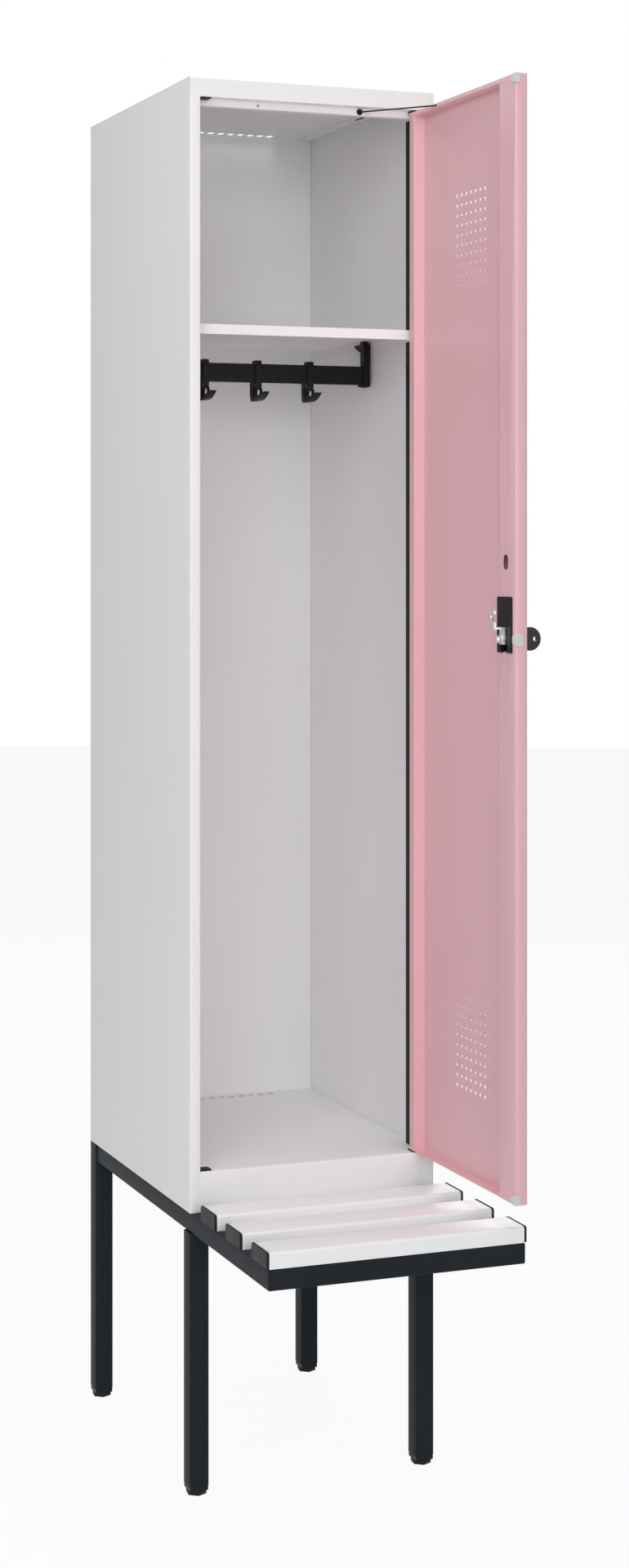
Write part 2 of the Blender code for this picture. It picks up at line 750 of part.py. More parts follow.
def leg_plugs_and_feet(plastic, metal, carcass):
    """Square plugs in the tube ends, each with a screwed levelling foot."""
    seat = FOOT_HEIGHT + GAP
    wide = TUBE / 2 - PLUG_INSET
    fit = TUBE / 2 - TUBE_WALL - GAP
    places = (
        ("front_left", 0, 0),
        ("front_right", WIDTH - TUBE, 0),
        ("rear_left", 0, DEPTH - TUBE),
        ("rear_right", WIDTH - TUBE, DEPTH - TUBE),
    )
    for name, x, y in places:
        middle = frame("foot_axis_" + name, (x + TUBE / 2, y + TUBE / 2, 0), carcass)
        flange = block((-wide, -wide, seat), (wide, wide, seat + PLUG_HEIGHT))
        plug = piece("leg_plug_" + name, flange, plastic, middle)
        top = seat + PLUG_HEIGHT + PLUG_INSERT
        insert = square(-fit, fit, TUBE_CORNER)
        join(plug, prism(insert, seat + PLUG_HEIGHT / 2, top, "Z"))
        bore = ring((0, 0), STEM_RADIUS + THREAD_GAP, 16)
        cut(plug, prism(bore, seat - CUT, top + CUT, "Z"))
        head = prism(ring((0, 0), FOOT_RADIUS, 6, FOOT_TURN), 0, FOOT_HEIGHT, "Z")
        foot = piece("levelling_foot_" + name, head, plastic, middle)
        edge_bevel(foot, FOOT_CHAMFER)
        stem = prism(ring((0, 0), STEM_RADIUS, 16), FOOT_HEIGHT / 2, STEM_LENGTH, "Z")
        join(foot, stem)


def slat_outline(front, width, height, base, corner):
    """Section of a slat or cap in YZ with rounded upper edges."""
    rear = front + width
    top = base + height
    outline = [(front, base), (rear, base)]
    outline += arc((rear - corner, top - corner), corner, 0, 90, 4)
    outline += arc((front + corner, top - corner), corner, 90, 180, 4)
    return outline


def bench_slats(slat_plastic, cap_plastic, carcass):
    """Hollow slats across the side rails, closed by pushed-in end caps."""
    names = ("front", "middle", "rear")
    base = BASE_HEIGHT + GAP
    inner = SLAT_WALL
    chamber = (SLAT_WIDTH - 3 * SLAT_WALL) / 2
    for i in range(SLAT_COUNT):
        front = -BENCH_REACH + i * SLAT_PITCH
        outline = slat_outline(front, SLAT_WIDTH, SLAT_HEIGHT, base, SLAT_ROUND)
        start = CAP_THICK + GAP
        slat = prism(outline, start, WIDTH - start, "X")
        made = piece("bench_slat_" + names[i], slat, slat_plastic, carcass, True)
        chambers = []
        for k in (0, 1):
            near = front + inner + k * (chamber + SLAT_WALL)
            low = (start - CUT, near, base + inner)
            high = (WIDTH - start + CUT, near + chamber, base + SLAT_HEIGHT - inner)
            cut(made, block(low, high))
            chambers.append((near + GAP, near + chamber - GAP))
        for side in ("left", "right"):
            outer = (0, CAP_THICK) if side == "left" else (WIDTH - CAP_THICK, WIDTH)
            face = slat_outline(front, SLAT_WIDTH, SLAT_HEIGHT + CAP_PROUD, base, SLAT_ROUND)
            name = "slat_cap_%s_%s" % (names[i], side)
            cap = piece(name, prism(face, *outer, "X"), cap_plastic, carcass)
            edge_bevel(cap, CAP_CHAMFER)
            for near, far in chambers:
                inside = CAP_THICK / 2
                reach = CAP_THICK + CAP_PEG
                ends = (inside, reach) if side == "left" else (WIDTH - reach, WIDTH - inside)
                low = (ends[0], near, base + inner + GAP)
                high = (ends[1], far, base + SLAT_HEIGHT - inner - GAP)
                join(cap, block(low, high))


# Door in its own frame: the origin is on the hinge axis, drawn closed

def door_line():
    """Middle line of the door sheet in plan, from the hinge stile round to the lock stile."""
    inside = DOOR_IN - HALF_SHEET
    outside = DOOR_OUT + HALF_SHEET
    foot = DOOR_OUT + SHEET + GAP + HALF_SHEET
    hinge_wall = DOOR_RIGHT - HINGE_STILE + HALF_SHEET
    lock_wall = DOOR_LEFT + LOCK_STILE - HALF_SHEET
    return [
        (hinge_wall - STILE_FOOT, foot),
        (hinge_wall, foot),
        (hinge_wall, inside),
        (DOOR_RIGHT - HALF_SHEET, inside),
        (DOOR_RIGHT - HALF_SHEET, outside),
        (DOOR_LEFT + HALF_SHEET, outside),
        (DOOR_LEFT + HALF_SHEET, inside),
        (lock_wall, inside),
        (lock_wall, foot),
        (lock_wall + STILE_FOOT, foot),
    ]


def perforation():
    """Cutter for the two graded fields of round holes, largest towards the door's ends."""
    whole = bmesh.new()
    middle = (DOOR_LEFT + DOOR_RIGHT) / 2
    first = middle - (HOLE_COLUMNS - 1) * HOLE_PITCH_X / 2
    fields = ((DOOR_TOP - HOLE_TOP_EDGE, -1), (DOOR_BOTTOM + HOLE_BOTTOM_EDGE, 1))
    for edge, way in fields:
        for row in range(HOLE_ROWS):
            share = row / (HOLE_ROWS - 1)
            radius = HOLE_LARGE + (HOLE_SMALL - HOLE_LARGE) * share
            z = edge + way * row * HOLE_PITCH_Z
            for column in range(HOLE_COLUMNS):
                hole = ring((first + column * HOLE_PITCH_X, z), radius, HOLE_SIDES)
                add_body(whole, prism(hole, DOOR_OUT - CUT, DOOR_OUT + SHEET + CUT, "Y"))
    return whole


def end_plate(low):
    """Flange that closes the top or the bottom of the pan."""
    inset = HALF_SHEET + HALF_SHEET / 2
    corner = (DOOR_LEFT + inset, DOOR_OUT + inset, low)
    return block(corner, (DOOR_RIGHT - inset, DOOR_IN - inset, low + SHEET))


def door_panel(metal, door):
    """The folded pan with its stiles, top channel, perforation and lock cut-outs."""
    shell = folded(door_line(), SHEET, DOOR_BOTTOM, DOOR_TOP, "Z")
    panel = piece("door_panel", shell, metal, door)
    join(panel, end_plate(DOOR_TOP - SHEET))
    join(panel, end_plate(DOOR_BOTTOM))
    hinge_wall = DOOR_RIGHT - HINGE_STILE + HALF_SHEET
    lock_wall = DOOR_LEFT + LOCK_STILE - HALF_SHEET
    lip = DOOR_TOP - TOP_LIP + HALF_SHEET
    line = [
        (DOOR_IN - HALF_SHEET, DOOR_TOP - HALF_SHEET / 2),
        (DOOR_IN - HALF_SHEET, lip),
        (DOOR_OUT + SHEET + GAP, lip),
    ]
    into = BEND / 2
    join(panel, folded(line, SHEET, lock_wall - into, hinge_wall + into, "X"))
    cut(panel, perforation())
    for low in (DOOR_TOP, DOOR_BOTTOM):
        cut(panel, prism(ring((0, 0), PIN_RADIUS + GAP, 16), low - CUT, low + CUT, "Z"))
    face_hole = ring((LOCK_X, LOCK_Z), SPINDLE_RADIUS + 2 * GAP, 16)
    cut(panel, prism(face_hole, DOOR_OUT - CUT, DOOR_OUT + CUT, "Y"))
    half = POCKET_WIDTH / 2 + POCKET_WALL + GAP
    low = (LOCK_X - half, DOOR_IN - SHEET - CUT, LOCK_Z - POCKET_BELOW - POCKET_WALL - GAP)
    high = (LOCK_X + half, DOOR_IN + CUT, LOCK_Z + POCKET_ABOVE + POCKET_WALL + GAP)
    cut(panel, block(low, high))
    side = PUNCH_OUT_WIDTH / 2
    straight = PUNCH_OUT_HEIGHT / 2 - side
    middle = LOCK_Z + PUNCH_OUT_ABOVE
    slot = arc((LOCK_X, middle + straight), side, 0, 180, 8)
    slot += arc((LOCK_X, middle - straight), side, 180, 360, 8)
    cut(panel, prism(slot, DOOR_IN - SHEET - CUT, DOOR_IN + CUT, "Y"))
    for x in (DOOR_RIGHT - HINGE_STILE + DIMPLE_INSET, DOOR_LEFT + LOCK_STILE - DIMPLE_INSET):
        dimple = ring((x, BASE_HEIGHT + DIMPLE_HEIGHT), DIMPLE_RADIUS, 8)
        cut(panel, prism(dimple, DOOR_IN - SHEET - GAP, DOOR_IN + CUT, "Y"))
    side = STAY_RADIUS + GAP
    reach = STAY_HOLE_LENGTH / 2 - side
    middle = DOOR_TOP - STAY_LIP_DROP
    slot = arc((-STAY_FROM_HINGE + reach, middle), side, -90, 90, 6)
    slot += arc((-STAY_FROM_HINGE - reach, middle), side, 90, 270, 6)
    cut(panel, prism(slot, DOOR_IN - SHEET - GAP, DOOR_IN + CUT, "Y"))


def pivot_pins(steel, door):
    """Headed pins, pushed from inside the hinge stile into the blocks."""
    head = PIN_HEAD
    into = PIN_INTO_BLOCK
    top_head = DOOR_TOP - SHEET - GAP
    profile = [
        (0, top_head - head),
        (PIN_HEAD_RADIUS, top_head - head),
        (PIN_HEAD_RADIUS, top_head),
        (PIN_RADIUS, top_head),
        (PIN_RADIUS, OPENING_TOP + into),
        (0, OPENING_TOP + into),
    ]
    piece("pivot_pin_top", turned(profile, 16), steel, door, True)
    bottom_head = DOOR_BOTTOM + SHEET + GAP
    profile = [
        (0, OPENING_BOTTOM - into),
        (PIN_RADIUS, OPENING_BOTTOM - into),
        (PIN_RADIUS, bottom_head),
        (PIN_HEAD_RADIUS, bottom_head),
        (PIN_HEAD_RADIUS, bottom_head + head),
        (0, bottom_head + head),
    ]
    piece("pivot_pin_bottom", turned(profile, 16), steel, door, True)


def lock_housing(plastic, door):
    """Plate on the lock stile with a pocket for the spindle, open towards its lower end."""
    left = DOOR_LEFT + LOCK_STILE + HOUSING_OVER_STILE - HOUSING_WIDTH
    right = left + HOUSING_WIDTH
    low = LOCK_Z - HOUSING_BELOW
    seat = DOOR_IN + GAP
    face = seat + HOUSING_PROUD
    plate = block((left, seat, low), (right, face, low + HOUSING_LENGTH))
    housing = piece("lock_housing", plate, plastic, door)
    edge_bevel(housing, GAP * 2)
    half = POCKET_WIDTH / 2
    wall = half + POCKET_WALL
    floor = DOOR_IN - POCKET_DEPTH
    bottom = LOCK_Z - POCKET_BELOW
    top = LOCK_Z + POCKET_ABOVE
    corner = (LOCK_X - wall, floor - POCKET_WALL, bottom - POCKET_WALL)
    join(housing, block(corner, (LOCK_X + wall, seat + HOUSING_PROUD / 2, top + POCKET_WALL)))
    cut(housing, block((LOCK_X - half, floor, bottom), (LOCK_X + half, face + CUT, top)))
    notch = NOTCH_WIDTH / 2
    corner = (LOCK_X - notch, seat - GAP, low - CUT)
    cut(housing, block(corner, (LOCK_X + notch, face + CUT, bottom + POCKET_WALL)))
    bore = ring((LOCK_X, LOCK_Z), SPINDLE_RADIUS + GAP, 16)
    cut(housing, prism(bore, floor - POCKET_WALL - CUT, floor + CUT, "Y"))


def lock_rosette(plastic, door):
    """Round base plate of the knob on the outside of the door."""
    back = DOOR_OUT - GAP
    disc = prism(ring((LOCK_X, LOCK_Z), ROSETTE_RADIUS, 32), back - ROSETTE_THICK, back, "Y")
    rosette = piece("lock_rosette", disc, plastic, door)
    edge_bevel(rosette, KNOB_EDGE)
    bore = ring((LOCK_X, LOCK_Z), SPINDLE_RADIUS + GAP, 16)
    cut(rosette, prism(bore, back - ROSETTE_THICK - CUT, back + CUT, "Y"))


def lock_knob(plastic, lock):
    """Disc-shaped wing with a padlock eye and a hub that holds the spindle."""
    seat = DOOR_OUT - ROSETTE_THICK - 2 * GAP
    centre = DOOR_OUT - KNOB_CENTRE
    lift = math.degrees(math.acos((seat - centre) / KNOB_RADIUS))
    outline = arc((centre, 0), KNOB_RADIUS, lift, 360 - lift, 26)
    wing = prism(outline, -KNOB_THICK / 2, KNOB_THICK / 2, "X")
    knob = piece("lock_knob", wing, plastic, lock, True)
    edge_bevel(knob, KNOB_EDGE, 2)
    hub_end = seat - KNOB_HUB_LENGTH
    join(knob, prism(ring((0, 0), KNOB_HUB_RADIUS, 24), hub_end, seat, "Y"))
    eye = ring((DOOR_OUT - EYE_FROM_DOOR, 0), EYE_RADIUS, 16)
    cut(knob, prism(eye, -KNOB_THICK, KNOB_THICK, "X"))
    bore = ring((0, 0), SPINDLE_RADIUS + GAP, 16)
    cut(knob, prism(bore, seat - SPINDLE_INTO_KNOB - GAP, seat + CUT, "Y"))


def cam_seat():
    """The face of the housing that the cam turns on."""
    return DOOR_IN + GAP + HOUSING_PROUD + GAP


def lock_spindle(steel, lock):
    """Steel spindle from the knob through the door, the housing, the cam and the nut."""
    start = DOOR_OUT - ROSETTE_THICK - 2 * GAP - SPINDLE_INTO_KNOB
    end = cam_seat() + CAM_THICK + GAP + WASHER_THICK + NUT_THICK + SPINDLE_END
    spindle = piece("lock_spindle", prism(ring((0, 0), SPINDLE_RADIUS, 16), start, end, "Y"), steel, lock)
    edge_bevel(spindle, SPINDLE_CHAMFER)


def lock_cam(steel, lock):
    """Cranked cam with a claw: it points up when unlocked and turns behind the left stile."""
    near = cam_seat() + CAM_THICK / 2
    far = near + CAM_OFFSET
    line = [(near, -CAM_TAIL), (near, CAM_ARM), (far, CAM_ARM), (far, CAM_REACH)]
    half = CAM_WIDTH / 2
    cam = piece("lock_cam", folded(line, CAM_THICK, -half, half, "X"), steel, lock)
    bore = ring((0, 0), SPINDLE_RADIUS + GAP, 16)
    cut(cam, prism(bore, near - CAM_THICK, near + CAM_THICK, "Y"))
    top = CAM_REACH - CLAW_NIB
    slope = (CLAW_MOUTH - CLAW_INNER) / CLAW_DEPTH
    claw = [
        (-half + CLAW_DEPTH, top),
        (-half + CLAW_DEPTH, top - CLAW_INNER),
        (-half - CUT, top - CLAW_MOUTH - slope * CUT),
        (-half - CUT, top),
    ]
    cut(cam, prism(claw, far - CAM_THICK, far + CAM_THICK, "Y"))
    seat = cam_seat() + CAM_THICK + GAP
    made = piece("lock_nut", prism(ring((0, 0), WASHER_RADIUS, 24), seat, seat + WASHER_THICK, "Y"), steel, lock)
    outer = seat + WASHER_THICK + NUT_THICK
    corners = ring((0, 0), NUT_ACROSS / 2 / math.cos(math.pi / 6), 6)
    join(made, prism(corners, seat + WASHER_THICK / 2, outer, "Y"))
    cut(made, prism(bore, seat - CUT, outer + CUT, "Y"))


def buffers(rubber, door):
    """Soft angle pieces clipped round the lock edge, at both corners and beside the lock."""
    out = DOOR_LEFT - BUFFER_PROUD
    face = DOOR_IN + BUFFER_PAD
    chamfer = BUFFER_CHAMFER
    corner = (BUFFER_WRAP, BUFFER_BACK)
    short = (BUFFER_MIDDLE_WRAP, BUFFER_MIDDLE_BACK)
    top = DOOR_TOP + BUFFER_OVER_END - BUFFER_CORNER_HEIGHT
    places = (
        ("buffer_bottom", DOOR_BOTTOM - BUFFER_UNDER_END, BUFFER_CORNER_HEIGHT, corner),
        ("buffer_middle", LOCK_Z - BUFFER_HEIGHT / 2, BUFFER_HEIGHT, short),
        ("buffer_top", top, BUFFER_CORNER_HEIGHT, corner),
    )
    for name, low, height, (wrap, deep) in places:
        back = DOOR_IN - deep
        far = DOOR_LEFT + wrap
        outline = [
            (out, back),
            (DOOR_LEFT - GAP, back),
            (DOOR_LEFT - GAP, DOOR_IN + GAP),
            (far, DOOR_IN + GAP),
            (far - chamfer, face),
            (out + chamfer, face),
            (out, face - chamfer),
        ]
        made = piece(name, prism(outline, low, low + height, "Z"), rubber, door)
        slope = BUFFER_TAPER / BUFFER_TAPER_LENGTH
        reach = far + CUT
        rise = BUFFER_TAPER + slope * CUT
        for edge, way in ((low, 1), (low + height, -1)):
            corner = [
                (far - BUFFER_TAPER_LENGTH - CUT, edge - way * slope * CUT),
                (reach, edge + way * rise),
                (reach, edge - way * CUT),
            ]
            cut(made, prism(corner, DOOR_IN, face + CUT, "Y"))


# Stay cord between the ceiling stop and the door

def anchor_x():
    """The anchor faces the cord's hole in the door when the door is closed."""
    return HINGE_X - STAY_FROM_HINGE


def anchor_z():
    return OPENING_TOP - STAY_BELOW_TOP


def stay_anchor(plastic, carcass):
    """Round-headed anchor in the stop face."""
    back = REBATE - GAP
    centre = (anchor_x(), anchor_z())
    head = prism(ring(centre, ANCHOR_RADIUS, 20), back - ANCHOR_HEAD, back, "Y")
    anchor = piece("stay_anchor", head, plastic, carcass, True)
    shank = ring(centre, ANCHOR_SHANK, 10)
    join(anchor, prism(shank, back - ANCHOR_HEAD / 2, back + ANCHOR_LENGTH, "Y"))


def stay_route():
    """The taut cord with the door open: the anchor's face, and the ball behind the door's lip.

    It leaves the anchor, crosses the lip in the middle of its slot and ends in the channel.
    """
    turn = Matrix.Rotation(OPEN_ANGLE, 3, "Z")
    hinge = Vector((HINGE_X, HINGE_Y, 0))
    start = Vector((anchor_x(), REBATE - GAP - ANCHOR_HEAD, anchor_z()))
    slot = Vector((-STAY_FROM_HINGE, DOOR_IN - HALF_SHEET, DOOR_TOP - STAY_LIP_DROP))
    along = (hinge + turn @ slot - start).normalized()
    inward = turn @ Vector((0, -1, 0))
    depth = (HALF_SHEET + GAP + BALL_RADIUS) / along.dot(inward)
    ball = hinge + turn @ slot + along * depth
    return start, ball, along, turn.transposed() @ (ball - hinge)


def stay_cord(rubber, plastic, carcass, door):
    """The taut cord and the ball that holds its end inside the door's top channel."""
    start, ball, along, ball_in_door = stay_route()
    first = start + along * (STAY_RADIUS + GAP)
    last = ball - along * (BALL_RADIUS + GAP)
    piece("stay_cord", rod(first, last, STAY_RADIUS, 8, 16), rubber, carcass, True)
    shape = bmesh.new()
    bmesh.ops.create_icosphere(shape, subdivisions=2, radius=BALL_RADIUS)
    bmesh.ops.translate(shape, vec=ball_in_door, verts=shape.verts)
    piece("stay_end_ball", shape, plastic, door, True)


# Coat rail with sliding hooks

def coat_rail(plastic, carcass):
    """Ribbed rail between two brackets under the shelf."""
    band = RAIL_HEIGHT / (2 * RIB_COUNT - 1)
    front, back = [], []
    for i in range(2 * RIB_COUNT - 1):
        depth = RIB_DEPTH if i % 2 else 0
        for z in (RAIL_BOTTOM + i * band, RAIL_BOTTOM + (i + 1) * band):
            front.append((RAIL_FRONT + depth, z))
            back.append((RAIL_BACK - depth, z))
    start = BRACKET_FROM_SIDE + BRACKET_WIDTH + GAP
    rail = prism(front + back[::-1], start, WIDTH - start, "X")
    piece("coat_rail", rail, plastic, carcass)


def rail_brackets(plastic, carcass):
    """Hangers from the shelf down past the rail, each with a ledge, an outer flange and a gusset."""
    near = RAIL_FRONT - BRACKET_PROUD
    far = RAIL_BACK + HALF_SHEET
    seat = SHELF_LEVEL - SHEET - GAP
    shoulder = seat - BRACKET_PAD_DROP
    low = RAIL_BOTTOM - BRACKET_BELOW
    rim = BRACKET_PROUD / 2
    inside = far - rim
    plate = [
        (near + rim, low),
        (far - rim, low),
        (far, low + rim),
        (far, seat),
        (near + rim, seat),
        (near + rim, shoulder),
        (near, shoulder),
        (near, low + rim),
    ]
    gusset = [
        (inside, shoulder - GUSSET_HEIGHT),
        (far, shoulder - GUSSET_HEIGHT),
        (far + GUSSET_LENGTH, shoulder - GUSSET_END),
        (far + GUSSET_LENGTH, shoulder),
        (inside, shoulder),
    ]
    thin = BRACKET_FLANGE
    for side, wall, way in (("left", BRACKET_FROM_SIDE, 1), ("right", WIDTH - BRACKET_FROM_SIDE, -1)):
        front = sorted((wall + way * thin, wall + way * BRACKET_WIDTH))
        name = "rail_bracket_" + side
        bracket = piece(name, prism(plate, *front, "X"), plastic, carcass)
        edge_bevel(bracket, HOOK_EDGE)
        flange = sorted((wall, wall + way * (thin + rim)))
        corner = (flange[0], near + BRACKET_STEP, low + rim)
        join(bracket, block(corner, (flange[1], inside, shoulder)))
        arm = sorted((wall + way * (BRACKET_WIDTH - GUSSET_WIDTH), wall + way * (BRACKET_WIDTH - GAP)))
        join(bracket, prism(gusset, *arm, "X"))
        ledge = sorted((wall + way * (BRACKET_WIDTH - rim), wall + way * (BRACKET_WIDTH + BRACKET_LEDGE)))
        corner = (ledge[0], near + rim, low + rim / 2)
        join(bracket, block(corner, (ledge[1], inside, RAIL_BOTTOM - GAP)))


def hook_outline():
    """Side view of a hook: a band round the rail, a body, a loop that bulges forward, a horn."""
    half_depth = RAIL_DEPTH / 2 + GAP + HOOK_BAND
    half_height = RAIL_HEIGHT / 2 + GAP
    top = half_height + HOOK_CREST
    low = -half_height - HOOK_DROP
    back = half_depth + HOOK_BACK
    neck = HOOK_BAND - half_height
    slope = HOOK_BAND
    outline = [
        (half_depth - slope, top),
        (-half_depth + slope, top),
        (-half_depth, top - slope),
    ]
    outline += arc((-half_depth, -half_height - LOOP_BELOW), LOOP_RADIUS, 90, LOOP_END, 9)
    centre = (HORN_BEHIND_BAND - half_depth, low + HORN_RADIUS)
    tip = low + HORN_RADIUS * (1 - math.cos(math.radians(HORN_SWEEP)))
    steps = 8
    for i in range(steps // 3, steps + 1):
        share = i / steps
        radius = HORN_RADIUS - HORN_ROOT + (HORN_ROOT - HORN_TIP) * share
        lean = math.radians(HORN_SWEEP * share)
        point = (centre[0] - radius * math.sin(lean), centre[1] - radius * math.cos(lean))
        if point[1] < tip:
            outline.append(point)
    outline.append((centre[0] - math.sqrt((HORN_RADIUS - HORN_TIP) ** 2 - (centre[1] - tip) ** 2), tip))
    outline += arc(centre, HORN_RADIUS, -90 - HORN_SWEEP, -90, steps)
    outline += [
        (back - HOOK_HEEL, low),
        (back, low + 3 * HOOK_HEEL),
        (back, neck),
        (half_depth, neck),
        (half_depth, top - slope),
    ]
    return outline


def web_outline():
    """Area round the loop where both sides of a hook are set back to a thin web."""
    half_depth = RAIL_DEPTH / 2 + GAP + HOOK_BAND
    middle = -RAIL_HEIGHT / 2 - GAP - LOOP_BELOW
    front = -half_depth - LOOP_RADIUS
    floor = middle - WEB_FLOOR
    return [
        (front - 2 * WEB_THICK, middle + LOOP_RADIUS),
        (WEB_BACK - half_depth, middle + LOOP_RADIUS),
        (WEB_BACK - half_depth, floor),
        (-half_depth, floor),
        (-half_depth - WEB_MEETS_HORN, floor + WEB_HORN_RISE),
        (front - 2 * WEB_THICK, floor + 2 * WEB_HORN_RISE),
    ]


def loop_hole():
    """Long hole through the web."""
    side = LOOP_HOLE_HEIGHT / 2
    middle = LOOP_HOLE_RAISED - RAIL_HEIGHT / 2 - GAP - LOOP_BELOW
    near = LOOP_HOLE_WALL - RAIL_DEPTH / 2 - GAP - HOOK_BAND - LOOP_RADIUS
    far = near + LOOP_HOLE_LENGTH
    outline = arc((far - side, middle), side, -90, 90, 8)
    return outline + arc((near + side, middle), side, 90, 270, 8)


def coat_hooks(plastic, carcass):
    """Hooks that slide along the rail."""
    names = ("left", "middle", "right")
    middle_y = (RAIL_FRONT + RAIL_BACK) / 2
    middle_z = (RAIL_TOP + RAIL_BOTTOM) / 2
    for i in range(HOOK_COUNT):
        x = WIDTH / 2 + (i - (HOOK_COUNT - 1) / 2) * HOOK_PITCH
        slide = frame("hook_slide_" + names[i], (x, middle_y, middle_z), carcass)
        half = HOOK_WIDTH / 2
        shape = prism(hook_outline(), -half, half, "X")
        hook = piece("coat_hook_" + names[i], shape, plastic, slide, True)
        edge_bevel(hook, HOOK_EDGE)
        deep = RAIL_DEPTH / 2 + GAP
        high = RAIL_HEIGHT / 2 + GAP
        cut(hook, block((-HOOK_WIDTH, -deep, -high), (HOOK_WIDTH, deep, high)))
        for side in (-1, 1):
            ends = sorted((side * WEB_THICK / 2, side * HOOK_WIDTH))
            cut(hook, prism(web_outline(), *ends, "X"))
        cut(hook, prism(loop_hole(), -HOOK_WIDTH, HOOK_WIDTH, "X"))


def build():
    clear_scene()
    grey = finish("light_grey_powder_coat", "D6D7D6", 0.5)
    rose = finish("rose_powder_coat", "D9A3AD", 0.5)
    anthracite = finish("anthracite_powder_coat", "2B2F32", 0.5)
    black = finish("black_nylon", "161617", 0.45)
    white = finish("white_slat_plastic", "E9EAEB", 0.4)
    clear_rubber = finish("translucent_rubber", "D5D4D3", 0.4)
    zinc = finish("zinc_plated_steel", "C9C9C7", 0.3, 1.0)

    origin = (-FOOTPRINT_RIGHT / 2, (FOOTPRINT_FRONT - DEPTH) / 2, 0)
    carcass = frame("cabinet_frame", origin)
    door = frame("door_hinge_axis", (HINGE_X, HINGE_Y, 0), carcass, OPEN_ANGLE)
    lock = frame("lock_axis", (LOCK_X, 0, LOCK_Z), door)

    side_panels(grey, carcass)
    back_panel(grey, carcass)
    top_panel(grey, carcass)
    bottom_fascia(grey, carcass)
    floor_panel(grey, carcass)
    hat_shelf(grey, carcass)
    stile_liners(anthracite, carcass)
    pivot_blocks(black, carcass)
    base_frame(anthracite, carcass)
    leg_plugs_and_feet(black, zinc, carcass)
    bench_slats(white, black, carcass)
    door_panel(rose, door)
    pivot_pins(zinc, door)
    lock_housing(black, door)
    lock_rosette(black, door)
    lock_knob(black, lock)
    lock_spindle(zinc, lock)
    lock_cam(zinc, lock)
    buffers(clear_rubber, door)
    stay_anchor(black, carcass)
    stay_cord(black, black, carcass, door)
    coat_rail(black, carcass)
    rail_brackets(black, carcass)
    coat_hooks(black, carcass)


build()
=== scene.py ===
"""Looks of a steel cloakroom locker on a tube frame that runs forward as a slatted bench."""

import json
import math

import bmesh
import bpy
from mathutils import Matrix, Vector

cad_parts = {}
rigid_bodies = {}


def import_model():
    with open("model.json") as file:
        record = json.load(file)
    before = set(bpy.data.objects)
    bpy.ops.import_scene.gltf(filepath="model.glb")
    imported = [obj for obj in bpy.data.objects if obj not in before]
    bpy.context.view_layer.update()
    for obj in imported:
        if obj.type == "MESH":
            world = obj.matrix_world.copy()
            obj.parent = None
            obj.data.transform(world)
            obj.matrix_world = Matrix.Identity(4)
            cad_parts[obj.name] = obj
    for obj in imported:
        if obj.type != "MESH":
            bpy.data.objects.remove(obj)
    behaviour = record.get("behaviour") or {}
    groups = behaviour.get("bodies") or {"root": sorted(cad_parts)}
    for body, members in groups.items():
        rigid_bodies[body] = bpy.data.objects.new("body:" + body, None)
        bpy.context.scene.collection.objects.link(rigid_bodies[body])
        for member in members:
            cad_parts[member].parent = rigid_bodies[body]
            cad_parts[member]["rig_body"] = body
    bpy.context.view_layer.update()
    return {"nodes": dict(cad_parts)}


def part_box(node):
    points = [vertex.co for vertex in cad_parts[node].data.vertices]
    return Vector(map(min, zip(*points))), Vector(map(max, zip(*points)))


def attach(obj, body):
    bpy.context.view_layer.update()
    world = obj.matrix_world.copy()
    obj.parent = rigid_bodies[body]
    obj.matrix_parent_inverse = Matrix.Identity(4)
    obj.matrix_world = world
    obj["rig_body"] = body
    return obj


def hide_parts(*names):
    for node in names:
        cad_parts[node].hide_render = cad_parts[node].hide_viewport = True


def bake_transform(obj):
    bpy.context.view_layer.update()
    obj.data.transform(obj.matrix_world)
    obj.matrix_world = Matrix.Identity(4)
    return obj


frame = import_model()

# The camera stands where the photograph was taken, left of the locker and a little above
# its middle, and looks level. Its shift only sets the framing of the 770 x 1920 picture.

MM = 0.001
CAMERA_AT = (-1480.735, -3653.02, 1424.6)
CAMERA_TURN = 20.306
SENSOR_WIDTH = 36
LENS = 58.35
FRAMING = (0.05796, -0.15319)
scene = bpy.context.scene
scene.view_settings.view_transform = "Standard"

camera = bpy.data.objects.new("photograph_view", bpy.data.cameras.new("photograph_view"))
camera.location = Vector(CAMERA_AT) * MM
camera.rotation_euler = (math.radians(90), 0, math.radians(-CAMERA_TURN))
camera.data.sensor_width = SENSOR_WIDTH
camera.data.lens = LENS
camera.data.shift_x, camera.data.shift_y = FRAMING
scene.collection.objects.link(camera)
scene.camera = camera

# The studio is a white room: the surroundings look white and light the locker softly.
# A floor of white paper throws light back up. The camera sees it washed with plain white, so
# that it meets the surroundings, and a share of the locker's shadow is left on it.


def linear(code):
    """An sRGB colour as six hex digits, in the linear light that shaders use."""
    channels = []
    for i in (0, 2, 4):
        value = int(code[i:i + 2], 16) / 255
        channels.append(value / 12.92 if value <= 0.04045 else ((value + 0.055) / 1.055) ** 2.4)
    return (*channels, 1.0)


def add_node(tree, kind, settings=None, inputs=None):
    """A shader node with its settings, and its inputs set or linked."""
    made = tree.nodes.new(kind)
    for name, value in (settings or {}).items():
        setattr(made, name, value)
    for name, value in (inputs or {}).items():
        if isinstance(value, bpy.types.NodeSocket):
            tree.links.new(value, made.inputs[name])
        else:
            made.inputs[name].default_value = value
    return made


